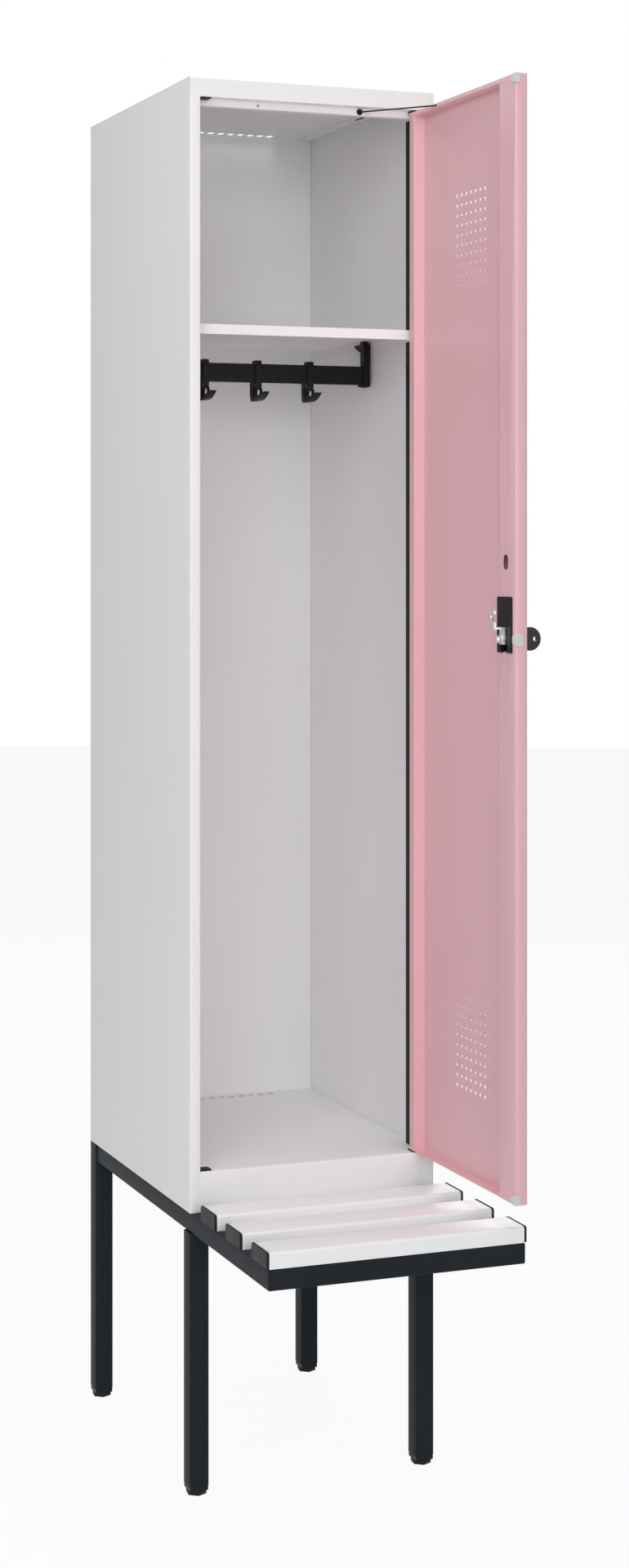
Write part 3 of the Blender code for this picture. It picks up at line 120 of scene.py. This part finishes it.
def shown_white(tree):
    """One for the rays that should meet plain white: from the camera, glossy or through glass."""
    path = add_node(tree, "ShaderNodeLightPath")
    direct = add_node(tree, "ShaderNodeMath", {"operation": "MAXIMUM"},
                      {0: path.outputs["Is Camera Ray"], 1: path.outputs["Is Transmission Ray"]})
    either = add_node(tree, "ShaderNodeMath", {"operation": "MAXIMUM"},
                      {0: direct.outputs[0], 1: path.outputs["Is Glossy Ray"]})
    return either.outputs[0]


AMBIENT = 0.13
world = bpy.data.worlds.new("white_studio")
world.use_nodes = True
scene.world = world
sky = world.node_tree
sky.nodes.clear()
level = add_node(sky, "ShaderNodeMapRange", {},
                 {"Value": shown_white(sky), "To Min": AMBIENT, "To Max": 1.0})
white = add_node(sky, "ShaderNodeBackground", {},
                 {"Color": linear("FFFFFF"), "Strength": level.outputs["Result"]})
add_node(sky, "ShaderNodeOutputWorld", {}, {"Surface": white.outputs["Background"]})

FLOOR_REACH = 14.0
FLOOR_SIDES = 96
FLOOR_DROP = 0.2 * MM
FLOOR_WASH = 0.93
PAPER_CLOUD = 25
shape = bmesh.new()
bmesh.ops.create_circle(shape, cap_ends=True, radius=FLOOR_REACH, segments=FLOOR_SIDES)
bmesh.ops.translate(shape, vec=(0, 0, -FLOOR_DROP), verts=shape.verts)
floor = bpy.data.objects.new("studio_floor", bpy.data.meshes.new("studio_floor"))
shape.to_mesh(floor.data)
shape.free()
scene.collection.objects.link(floor)
paper = bpy.data.materials.new("matt_white_studio_paper")
paper.use_nodes = True
tree = paper.node_tree
tree.nodes.clear()
where = add_node(tree, "ShaderNodeTexCoord").outputs["Object"]
cloud = add_node(tree, "ShaderNodeTexNoise", {},
                 {"Vector": where, "Scale": 1000 / PAPER_CLOUD, "Detail": 2.0})
tint = add_node(tree, "ShaderNodeMixRGB", {},
                {"Fac": cloud.outputs["Fac"], "Color1": linear("F6F6F6"), "Color2": linear("FAFAFA")})
matt = add_node(tree, "ShaderNodeBsdfDiffuse", {}, {"Color": tint.outputs["Color"]})
glow = add_node(tree, "ShaderNodeEmission", {}, {"Color": linear("FFFFFF"), "Strength": 1.0})
share = add_node(tree, "ShaderNodeMath", {"operation": "MULTIPLY"}, {0: shown_white(tree), 1: FLOOR_WASH})
shade = add_node(tree, "ShaderNodeMixShader", {},
                 {"Fac": share.outputs[0], 1: matt.outputs["BSDF"], 2: glow.outputs["Emission"]})
add_node(tree, "ShaderNodeOutputMaterial", {}, {"Surface": shade.outputs["Shader"]})
floor.data.materials.append(paper)

# Square lamps, by place, aim, width in metres and power in watts: a high key from the left of
# the camera, one from the front that reaches into the open body, and others from the left,
# from right above and from behind.

lamps = (
    ("key_softbox", (-3.1, -3.9, 3.1), (0, 0, 1.1), 3.0, 76),
    ("front_softbox", (-0.6, -5.4, 2.0), (0, 0, 1.2), 2.2, 62),
    ("left_softbox", (-4.6, -0.2, 1.8), (0, 0, 1.0), 3.0, 26),
    ("overhead_softbox", (-0.2, -0.4, 4.7), (0, -0.3, 0.4), 2.6, 72),
    ("rear_softbox", (1.5, 4.6, 2.6), (0, 0, 1.1), 3.0, 60),
)
for name, place, aim, size, power in lamps:
    lamp = bpy.data.lights.new(name, "AREA")
    lamp.size = size
    lamp.energy = power
    holder = bpy.data.objects.new(name, lamp)
    holder.location = place
    holder.rotation_euler = (Vector(aim) - Vector(place)).to_track_quat("-Z", "Y").to_euler()
    scene.collection.objects.link(holder)

# Carcass: 1 mm steel sheet, folded, spot welded and powder coated in a light grey white.
# A powder coat gives an even, satin colour with a faint orange peel that softens highlights.
# Paint rounds the sheets' cut edges a little. Sizes here and below are in millimetres.

CARCASS_WIDTH = 400
SHEET_EASE = 0.22 * MM
HAIR = 0.001 * MM
FLAT = math.radians(0.5)
PAINT_CLOUD = 166.67
ORANGE_PEEL = 2.6
PEEL_LIFT = 0.010
X, Y, Z = range(3)
front_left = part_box("side_panel_left")[0]


def at(x, y, z):
    """A place in millimetres from the body's left side, its front face and the floor."""
    return Vector((front_left.x + x * MM, front_left.y + y * MM, z * MM))


def blank_finish(name, specular=0.5):
    """A material with its node tree, its shader and the places that its patterns follow."""
    made = bpy.data.materials.new(name)
    made.use_nodes = True
    tree = made.node_tree
    shader = tree.nodes["Principled BSDF"]
    shader.inputs["Specular IOR Level"].default_value = specular
    return made, tree, shader, add_node(tree, "ShaderNodeTexCoord").outputs["Object"]


def tint_and_sheen(tree, shader, patches, dark, light, streaks, roughness, spread):
    """Runs the colour between two close shades with one pattern, and the sheen with another."""
    tint = add_node(tree, "ShaderNodeMixRGB", {},
                    {"Fac": patches, "Color1": linear(dark), "Color2": linear(light)})
    rough = add_node(tree, "ShaderNodeMapRange", {},
                     {"Value": streaks, "From Min": 0.3, "From Max": 0.7,
                      "To Min": roughness - spread, "To Max": roughness + spread})
    tree.links.new(tint.outputs["Color"], shader.inputs["Base Color"])
    tree.links.new(rough.outputs["Result"], shader.inputs["Roughness"])


def relief(tree, shader, pattern, strength, lift):
    """Lifts a fine pattern off the surface, by a height in millimetres."""
    bump = add_node(tree, "ShaderNodeBump", {},
                    {"Strength": strength, "Distance": lift * MM, "Height": pattern})
    tree.links.new(bump.outputs["Normal"], shader.inputs["Normal"])


def painted_steel(name, dark, light, roughness, specular):
    """Powder-coated steel: two close shades in wide clouds over orange peel."""
    made, tree, shader, where = blank_finish(name, specular)
    cloud = add_node(tree, "ShaderNodeTexNoise", {},
                     {"Vector": where, "Scale": 1000 / PAINT_CLOUD, "Detail": 2.0})
    wave = add_node(tree, "ShaderNodeTexNoise", {},
                    {"Vector": where, "Scale": 1000 / ORANGE_PEEL, "Detail": 1.0})
    grain = add_node(tree, "ShaderNodeTexNoise", {},
                     {"Vector": where, "Scale": 3000 / ORANGE_PEEL, "Detail": 0.0})
    height = add_node(tree, "ShaderNodeMath", {"operation": "MULTIPLY_ADD"},
                      {0: grain.outputs["Fac"], 1: 0.35, 2: wave.outputs["Fac"]})
    tint_and_sheen(tree, shader, cloud.outputs["Fac"], dark, light, grain.outputs["Fac"], roughness, 0.04)
    relief(tree, shader, height.outputs[0], 0.5, PEEL_LIFT)
    return made


def solid_of(node):
    """The CAD solid of a node as a bmesh, its corners welded and its flat faces merged."""
    shape = bmesh.new()
    shape.from_mesh(frame["nodes"][node].data)
    bmesh.ops.remove_doubles(shape, verts=shape.verts, dist=2 * HAIR)
    bmesh.ops.dissolve_limit(shape, angle_limit=FLAT, verts=shape.verts, edges=shape.edges)
    return shape


def prism(shape, outline, axis, low, high):
    """Adds a prism: an outline of world points in a plane, run from low to high on an axis."""
    ends = []
    for level in (low, high):
        ring = []
        for point in outline:
            place = Vector(point)
            place[axis] = level
            ring.append(shape.verts.new(place))
        ends.append(ring)
    faces = [shape.faces.new(ends[0]), shape.faces.new(ends[1])]
    for i in range(len(outline)):
        j = (i + 1) % len(outline)
        faces.append(shape.faces.new((ends[0][i], ends[0][j], ends[1][j], ends[1][i])))
    bmesh.ops.recalc_face_normals(shape, faces=faces)


def slab(shape, one, other):
    """Adds a box between two opposite corners, given in world metres."""
    outline = [(one.x, one.y, 0), (other.x, one.y, 0), (other.x, other.y, 0), (one.x, other.y, 0)]
    prism(shape, outline, Z, one.z, other.z)


def piece(name, shape, material, body, nodes=(), ease=0.0, segments=2, limit=30):
    """A named piece from a bmesh: shaded round, with eased edges, riding on a body."""
    mesh = bpy.data.meshes.new(name)
    shape.to_mesh(mesh)
    shape.free()
    mesh.shade_smooth()
    mesh.set_sharp_from_angle(angle=math.radians(limit))
    mesh.materials.clear()
    mesh.materials.append(material)
    made = bpy.data.objects.new(name, mesh)
    scene.collection.objects.link(made)
    if ease:
        change = made.modifiers.new("eased_edges", "BEVEL")
        change.width = ease
        change.segments = segments
        change.limit_method = "ANGLE"
        change.angle_limit = math.radians(limit)
        change.harden_normals = True
    if body:
        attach(made, body)
    if nodes:
        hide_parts(*nodes)
    return made


def finished(node, material, ease, segments=2, limit=30, shape=None):
    """The piece that stands for a CAD node, in its own shape or in a finer one."""
    body = frame["nodes"][node]["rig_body"]
    return piece(node + "_finished", shape or solid_of(node), material, body, (node,), ease,
                 segments, limit)


carcass_paint = painted_steel("powder_coated_steel_light_grey", "F9F8F9", "FBFBFB", 0.5, 0.2)
for node in ("back_panel", "bottom_fascia", "floor_panel", "hat_shelf"):
    finished(node, carcass_paint, SHEET_EASE)

# Top panel: cap, fascia and stop face folded from one sheet. The flanges that hold it beside
# the walls end just under the ceiling here, since no edge of theirs shows inside the body.

CEILING = 2122.5
FLANGE_LOW = 2112.5
FLANGE_SHORT = 0.5
shape = solid_of("top_panel")
for vert in shape.verts:
    if abs(vert.co.z - FLANGE_LOW * MM) < 100 * HAIR:
        vert.co.z = (CEILING - FLANGE_SHORT) * MM
finished("top_panel", carcass_paint, SHEET_EASE, shape=shape)

# Side panels: each stile is welded to the top and bottom fascia and ground flush, so the
# front shows no joint. The filled seams are thin strips, a hair proud of the sheets.

OPENING_TOP = 2094.5
OPENING_BOTTOM = 484.5
STILE_FACE = 16.3
SEAM_DEPTH = 0.9
PROUD = 0.01
TOP_SEAM_START = 0.5
TOP_SEAM_BELOW = 0.65
TOP_SEAM_ABOVE = 0.35
SILL_SEAM_OUTWARD = 1.5
SILL_SEAM_INWARD = 0.7
SILL_SEAM_FOOT = 60.2
SILL_SEAM_HEAD = 0.5
top_seam = ((TOP_SEAM_START, OPENING_TOP - TOP_SEAM_BELOW), (STILE_FACE, OPENING_TOP + TOP_SEAM_ABOVE))
sill_seam = ((STILE_FACE - SILL_SEAM_OUTWARD, OPENING_BOTTOM - SILL_SEAM_FOOT),
             (STILE_FACE + SILL_SEAM_INWARD, OPENING_BOTTOM - SILL_SEAM_HEAD))
for side in ("left", "right"):
    shape = solid_of("side_panel_" + side)
    for (near, low), (far, high) in (top_seam, sill_seam):
        if side == "right":
            near, far = CARCASS_WIDTH - far, CARCASS_WIDTH - near
        slab(shape, at(near, -PROUD, low), at(far, SEAM_DEPTH, high))
    finished("side_panel_" + side, carcass_paint, SHEET_EASE, shape=shape)

# Grey nylon blanking plug in the stop face, where the stay would sit on a door hung the
# other way. It has a flat head with a domed rim and a short shank that snaps into the hole.

PLUG_AT = (116.35, 20.5, 2089.2)
PLUG_SIDES = 32
FLOW_CLOUD = 35.714


def moulded(name, dark, light, roughness, specular=0.4, grain=1.0, lift=0.010):
    """Moulded plastic: eroded grain under faint flow clouds (sizes in mm)."""
    made, tree, shader, where = blank_finish(name, specular)
    flow = add_node(tree, "ShaderNodeTexNoise", {},
                    {"Vector": where, "Scale": 1000 / FLOW_CLOUD, "Detail": 2.0})
    erosion = add_node(tree, "ShaderNodeTexNoise", {},
                       {"Vector": where, "Scale": 1000 / grain, "Detail": 1.0})
    tint_and_sheen(tree, shader, flow.outputs["Fac"], dark, light, flow.outputs["Fac"], roughness, 0.05)
    relief(tree, shader, erosion.outputs["Fac"], 0.5, lift)
    return made


def lathe(shape, centre, axis, profile, sides):
    """Adds a turned body: (radius, place along the axis) pairs in mm round a world centre."""
    first, second = [i for i in (X, Y, Z) if i != axis]
    rows = []
    for radius, along in profile:
        ring = []
        for i in range(sides if radius else 1):
            turn = 2 * math.pi * i / sides
            place = Vector(centre)
            place[first] += radius * MM * math.cos(turn)
            place[second] += radius * MM * math.sin(turn)
            place[axis] += along * MM
            ring.append(shape.verts.new(place))
        rows.append(ring)
    faces = []
    for near, far in zip(rows, rows[1:]):
        for i in range(sides):
            j = (i + 1) % sides
            corners = [near[i % len(near)], near[j % len(near)], far[j % len(far)], far[i % len(far)]]
            faces.append(shape.faces.new(list(dict.fromkeys(corners))))
    bmesh.ops.recalc_face_normals(shape, faces=faces)


grey_nylon = moulded("moulded_nylon_grey", "B2AEAE", "B8B4B4", 0.4)
domed_head = ((0, -0.35), (1.7, -0.33), (2.3, -0.22), (2.6, -0.02))
snap_shank = ((2.1, 0.05), (2.1, 3.2), (1.5, 4.0), (0, 4.0))
shape = bmesh.new()
lathe(shape, at(*PLUG_AT), Y, domed_head + snap_shank, PLUG_SIDES)
piece("blanking_plug", shape, grey_nylon, "cabinet")

# Top flanges of the side panels, turned in under the ceiling and spot welded to it. Each has an oval tab,
# lanced and pressed down beside a slit, where a screw ties two lockers. The slit is drawn as a thin dark
# strip of painted shade, standing for the shadow inside the opening.

FLANGE_START = 2.4
FLANGE_WIDTH = 27
FLANGE_FRONT = 37
FLANGE_REAR = 497
FLANGE_SHEET = 0.8
FLANGE_GAP = 0.02
TAB_MIDDLE = (8.5, 238)
TAB_HALF = (4.8, 24)
TAB_DROP = 3.4
TAB_EASE = 0.9 * MM
SLIT_MIDDLE = (15.2, 251)
SLIT_HALF = (2.4, 19)
SLIT_DEPTH = 0.4
SLIT_SUNK = 0.2
SLIT_EASE = 0.1 * MM
ROUND_POINTS = 9


def obround(middle_x, middle_y, half_width, half_length):
    """Outline with round ends, longer along y, in world metres at height zero."""
    points = []
    reach = half_length - half_width
    for side in (1, -1):
        for i in range(ROUND_POINTS):
            turn = math.pi * i / (ROUND_POINTS - 1)
            points.append(at(middle_x + side * half_width * math.cos(turn),
                             middle_y + side * (reach + half_width * math.sin(turn)), 0))
    return points


# Painted shade: a dull dark strip put where the slit's opening lies in shadow.
painted_slit_shade = moulded("painted_shade_in_slit", "3A3939", "424141", 0.6)
under = CEILING - FLANGE_SHEET
for side in ("left", "right"):
    way = 1 if side == "left" else -1
    wall = 0 if side == "left" else CARCASS_WIDTH
    shape = bmesh.new()
    slab(shape, at(wall + way * FLANGE_START, FLANGE_FRONT, under),
         at(wall + way * FLANGE_WIDTH, FLANGE_REAR, CEILING - FLANGE_GAP))
    piece("ceiling_flange_" + side, shape, carcass_paint, "cabinet", ease=SHEET_EASE)
    shape = bmesh.new()
    outline = obround(wall + way * TAB_MIDDLE[0], TAB_MIDDLE[1], *TAB_HALF)
    prism(shape, outline, Z, (CEILING - TAB_DROP) * MM, under * MM)
    piece("joining_tab_" + side, shape, carcass_paint, "cabinet", ease=TAB_EASE, segments=3)
    shape = bmesh.new()
    outline = obround(wall + way * SLIT_MIDDLE[0], SLIT_MIDDLE[1], *SLIT_HALF)
    prism(shape, outline, Z, (under - SLIT_DEPTH) * MM, (under + SLIT_SUNK) * MM)
    piece("joining_slit_" + side, shape, painted_slit_shade, "cabinet", ease=SLIT_EASE)

# Liner behind the hinge stile and the frame of 30 mm square tube: welded steel, powder
# coated in anthracite. The tube's corners are rolled round and its welds ground flat.

TUBE_EASE = 0.35 * MM
frame_paint = painted_steel("powder_coated_steel_anthracite", "20252A", "24292E", 0.52, 0.09)
for node in ("leg_front_left", "leg_front_right", "leg_rear_left", "leg_rear_right", "side_rail_left",
             "side_rail_right", "bench_cross_rail", "front_cross_rail", "rear_cross_rail",
             "stile_liner_lower", "stile_liner_upper"):
    finished(node, frame_paint, TUBE_EASE, limit=40)

# Leg plugs and levelling feet: black glass-filled nylon. A spark-eroded mould leaves a fine
# grain, drawn here at 1 mm. The plugs stand a little inside the tube's outline.

NYLON_EASE = 0.4 * MM
black_nylon = moulded("moulded_nylon_black", "131314", "181819", 0.46, 0.2)


def nylon_part(node, ease=NYLON_EASE, segments=2, shape=None, material=black_nylon):
    """A black nylon moulding that stands for its CAD node."""
    finished(node, material, ease, segments, 40, shape)


for corner in ("front_left", "front_right", "rear_left", "rear_right"):
    nylon_part("leg_plug_" + corner)
    nylon_part("levelling_foot_" + corner)

# Bench slats: hollow white plastic profile with rounded edges. Extrusion leaves it smooth,
# with faint lines along its length. The black caps are pushed into the open ends.

SLAT_EASE = 0.3 * MM
SLAT_CLOUD = 111.11
DIE_LINE = 1.2
LINE_LIFT = 0.004


def extruded(name, dark, light, roughness):
    """Extruded plastic: even colour, with die lines that run along the slat."""
    made, tree, shader, where = blank_finish(name)
    drawn = add_node(tree, "ShaderNodeMapping", {}, {"Vector": where, "Scale": (0.02, 1.0, 1.0)})
    lines = add_node(tree, "ShaderNodeTexNoise", {},
                     {"Vector": drawn.outputs["Vector"], "Scale": 1000 / DIE_LINE, "Detail": 1.0})
    cloud = add_node(tree, "ShaderNodeTexNoise", {},
                     {"Vector": where, "Scale": 1000 / SLAT_CLOUD, "Detail": 1.0})
    tint_and_sheen(tree, shader, cloud.outputs["Fac"], dark, light, lines.outputs["Fac"], roughness, 0.04)
    relief(tree, shader, lines.outputs["Fac"], 0.4, LINE_LIFT)
    return made


white_plastic = extruded("extruded_plastic_white", "FBFCFD", "FDFDFE", 0.38)
for row in ("front", "middle", "rear"):
    finished("bench_slat_" + row, white_plastic, SLAT_EASE, limit=40)
    for side in ("left", "right"):
        nylon_part("slat_cap_%s_%s" % (row, side))

# Door: a pan of 1 mm steel sheet, powder coated in rose, with two fields of punched holes
# and an obround punch-out above the lock, whose facetted ends are rounded here.

HINGE_X = 375.25
HINGE_Y = 8.4
DOOR_TOP = 2091.4
DOOR_INSIDE = 9.9
LOCK_BACK = 324.4
LOCK_Z = 1288.5
CUT_OUT_Z = LOCK_Z + 110
CUT_OUT_RADIUS = 8
CUT_OUT_STRAIGHT = 6
CUT_OUT_BAND = (CUT_OUT_RADIUS - 0.2, CUT_OUT_RADIUS + 0.2)
DOOR_EASE = 0.18 * MM


def on_door(along, out, z):
    """A place on the open door: from its hinge to the lock edge, from the hinge outwards, up."""
    return at(HINGE_X + out, HINGE_Y - along, z)


def round_off(shape, centre, axis, low, high, cuts):
    """Splits the sides of facetted circles whose radii lie from low to high, into rounder ones."""
    first, second = [i for i in (X, Y, Z) if i != axis]

    def radius(vert):
        return math.hypot(vert.co[first] - centre[first], vert.co[second] - centre[second])

    near = {}
    for vert in shape.verts:
        if abs(vert.co[first] - centre[first]) <= high * MM and low * MM <= radius(vert) <= high * MM:
            near[vert] = radius(vert)
    circles = {}
    sides = []
    for edge in {edge: None for vert in near for edge in vert.link_edges}:
        one, other = edge.verts
        if one in near and other in near and abs(near[one] - near[other]) < 20 * HAIR:
            if abs(one.co[axis] - other.co[axis]) < 2 * HAIR and edge.calc_length() < 0.9 * near[one]:
                sides.append(edge)
                circles.setdefault(round(one.co[axis], 5), set()).add(near[one])
    made = bmesh.ops.subdivide_edges(shape, edges=sides, cuts=cuts, use_grid_fill=True)
    for vert in made["geom_inner"]:
        if isinstance(vert, bmesh.types.BMVert):
            now = radius(vert)
            wanted = [size for size in circles[round(vert.co[axis], 5)] if size > now - HAIR]
            if wanted:
                vert.co[first] = centre[first] + (vert.co[first] - centre[first]) * min(wanted) / now
                vert.co[second] = centre[second] + (vert.co[second] - centre[second]) * min(wanted) / now


door_paint = painted_steel("powder_coated_steel_rose", "EAB8C0", "EDBCC4", 0.4, 0.7)
door = solid_of("door_panel")
for end in (-CUT_OUT_STRAIGHT / 2, CUT_OUT_STRAIGHT / 2):
    round_off(door, on_door(LOCK_BACK, 0, CUT_OUT_Z + end), X, *CUT_OUT_BAND, 2)
finished("door_panel", door_paint, DOOR_EASE, shape=door)

# The lip of the door's top flange lies over both stiles of the pan, spot welded and painted
# with it. It stands a third of a millimetre proud and leaves a fine shadow line on each.

LIP_DROP = 7
LIP_PROUD = 0.35
LIP_SUNK = 0.1
LIP_TOP_GAP = 1.2
LIP_EASE = 0.12 * MM
stiles = {"lock": (303.7, 343.0), "hinge": (-5.0, 11.7)}
for stile, (near, far) in stiles.items():
    shape = bmesh.new()
    slab(shape, on_door(far, -DOOR_INSIDE - LIP_PROUD, DOOR_TOP - LIP_DROP),
         on_door(near, -DOOR_INSIDE + LIP_SUNK, DOOR_TOP - LIP_TOP_GAP))
    piece("top_lip_on_%s_stile" % stile, shape, door_paint, "door", ease=LIP_EASE)

# Buffers on the lock edge: soft translucent rubber, pushed into the stile. Light goes a
# little way in, so their edges look paler than a hard plastic.

SOFT_EASE = 0.6 * MM
LIGHT_REACH = 2 * MM
soft_rubber = moulded("moulded_rubber_translucent", "DAD9D8", "E0DFDE", 0.42, 0.4, 1.2, 0.004)
soft_shader = soft_rubber.node_tree.nodes["Principled BSDF"]
soft_shader.inputs["Subsurface Weight"].default_value = 0.5
soft_shader.inputs["Subsurface Radius"].default_value = (LIGHT_REACH, LIGHT_REACH, LIGHT_REACH)
for place in ("top", "middle", "bottom"):
    finished("buffer_" + place, soft_rubber, SOFT_EASE, segments=3, limit=50)

# Bearing blocks and pins of the door: black nylon blocks riveted to the stop face and the
# sill, with turned steel pins in them. The left pair is spare, for a door hung on that side.

PIN_EASE = 0.25 * MM
ZINC_PATCH = 3.846


def plated(name, dark, light, roughness):
    """Zinc plate on turned or stamped steel: bright metal with soft cloudy patches."""
    made, tree, shader, where = blank_finish(name)
    shader.inputs["Metallic"].default_value = 1.0
    cloud = add_node(tree, "ShaderNodeTexNoise", {},
                     {"Vector": where, "Scale": 1000 / ZINC_PATCH, "Detail": 3.0})
    tint_and_sheen(tree, shader, cloud.outputs["Fac"], dark, light, cloud.outputs["Fac"], roughness, 0.06)
    return made


zinc = plated("zinc_plated_steel", "E9EBED", "F5F6F7", 0.34)
for end in ("top", "bottom"):
    finished("pivot_pin_" + end, zinc, PIN_EASE, limit=40)
    for side in ("left", "right"):
        nylon_part("pivot_block_%s_%s" % (end, side))

# Turn-bolt lock for a padlock: nylon housing, rosette and knob, with a zinc-plated spindle,
# cam and nut. The knob's disc, its eye and the rosette are made rounder than their solids.

DISC_OUT = 27.7
DISC_BAND = (15.7, 17.1)
EYE_OUT = 35.7
EYE_BAND = (3.5, 3.7)
ROSETTE_BAND = (14.5, 16.1)
knob = solid_of("lock_knob")
round_off(knob, on_door(LOCK_BACK, DISC_OUT, LOCK_Z), Y, *DISC_BAND, 3)
round_off(knob, on_door(LOCK_BACK, EYE_OUT, LOCK_Z), Y, *EYE_BAND, 2)
# The knob's nylon is smoother than the housing's, which is real. Its lighter black is painted sheen,
# standing for the brighter reflection on the disc.
satin_nylon_painted_sheen = moulded("moulded_nylon_black_satin_painted_sheen", "202021", "262627", 0.36, 0.4)
nylon_part("lock_knob", shape=knob, material=satin_nylon_painted_sheen)
rosette = solid_of("lock_rosette")
round_off(rosette, on_door(LOCK_BACK, 0, LOCK_Z), X, *ROSETTE_BAND, 2)
nylon_part("lock_rosette", shape=rosette)
nylon_part("lock_housing")
for node in ("lock_spindle", "lock_cam", "lock_nut"):
    finished(node, zinc, PIN_EASE, limit=40)

# Coat rail with its brackets and three hooks that slide along it: black nylon mouldings with
# the same grain as the feet. The brackets hold the rail in a cradle under the shelf.

ROUND_EASE = 0.9 * MM
nylon_part("coat_rail")
for side in ("left", "right"):
    nylon_part("rail_bracket_" + side, ROUND_EASE, 3)
for place in ("left", "middle", "right"):
    nylon_part("coat_hook_" + place, ROUND_EASE, 3)

# Stay of the door: a braided black polyester cord from an anchor in the stop face to a ball
# behind a slot in the door's top channel. It is taut with the door open, and six strands
# wind round it in two directions, so its surface has a fine diamond relief.

ANCHOR_AT = (283.65, 18.5, 2089.2)
ANCHOR_BAND = (4.5, 4.8)
SLOT_AT = (91.6, -9.4, 2087.9)
CORD_OUT = 1.5
CORD_RADIUS = 1.2
CORD_SIDES = 24
CORD_STEP = 0.35
PLAIT_PITCH = 2.2
PLAIT_STRANDS = 6
PLAIT_DEPTH = 0.07
BALL_TO_LIP = 2.9
BALL_RADIUS = 2.1

anchor = solid_of("stay_anchor")
round_off(anchor, at(*ANCHOR_AT), Y, *ANCHOR_BAND, 2)
nylon_part("stay_anchor", shape=anchor)
finished("stay_end_ball", black_nylon, 0, limit=60)

anchor_face = at(*ANCHOR_AT)
lip_slot = on_door(*SLOT_AT)
run = (lip_slot - anchor_face).normalized()
cord_start = anchor_face + run * CORD_OUT * MM
cord_end = lip_slot + run * (BALL_TO_LIP / abs(run.x) - BALL_RADIUS) * MM
cord_length = (cord_end - cord_start).length
aside = run.cross(Vector((0, 0, 1))).normalized()
above = aside.cross(run)
rings = int(cord_length / (CORD_STEP * MM)) + 1
shape = bmesh.new()
rows = []
for i in range(rings + 1):
    middle = cord_start.lerp(cord_end, i / rings)
    lay = 2 * math.pi * i / rings * cord_length / (PLAIT_PITCH * MM)
    ring = []
    for j in range(CORD_SIDES):
        turn = 2 * math.pi * j / CORD_SIDES
        hollow = (1 - math.cos(PLAIT_STRANDS * turn) * math.cos(lay)) / 2
        radius = CORD_RADIUS * MM * (1 - PLAIT_DEPTH * hollow)
        ring.append(shape.verts.new(middle + (aside * math.cos(turn) + above * math.sin(turn)) * radius))
    rows.append(ring)
for near, far in zip(rows, rows[1:]):
    for j in range(CORD_SIDES):
        k = (j + 1) % CORD_SIDES
        shape.faces.new((near[j], near[k], far[k], far[j]))
shape.faces.new(rows[0])
shape.faces.new(rows[-1])
bmesh.ops.recalc_face_normals(shape, faces=shape.faces)
black_cord = moulded("braided_polyester_black", "141415", "1A1A1B", 0.6, 0.3, 0.5, 0.02)
cord = piece("stay_cord_braid", shape, black_cord, None, ("stay_cord",), limit=60)
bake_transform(cord)
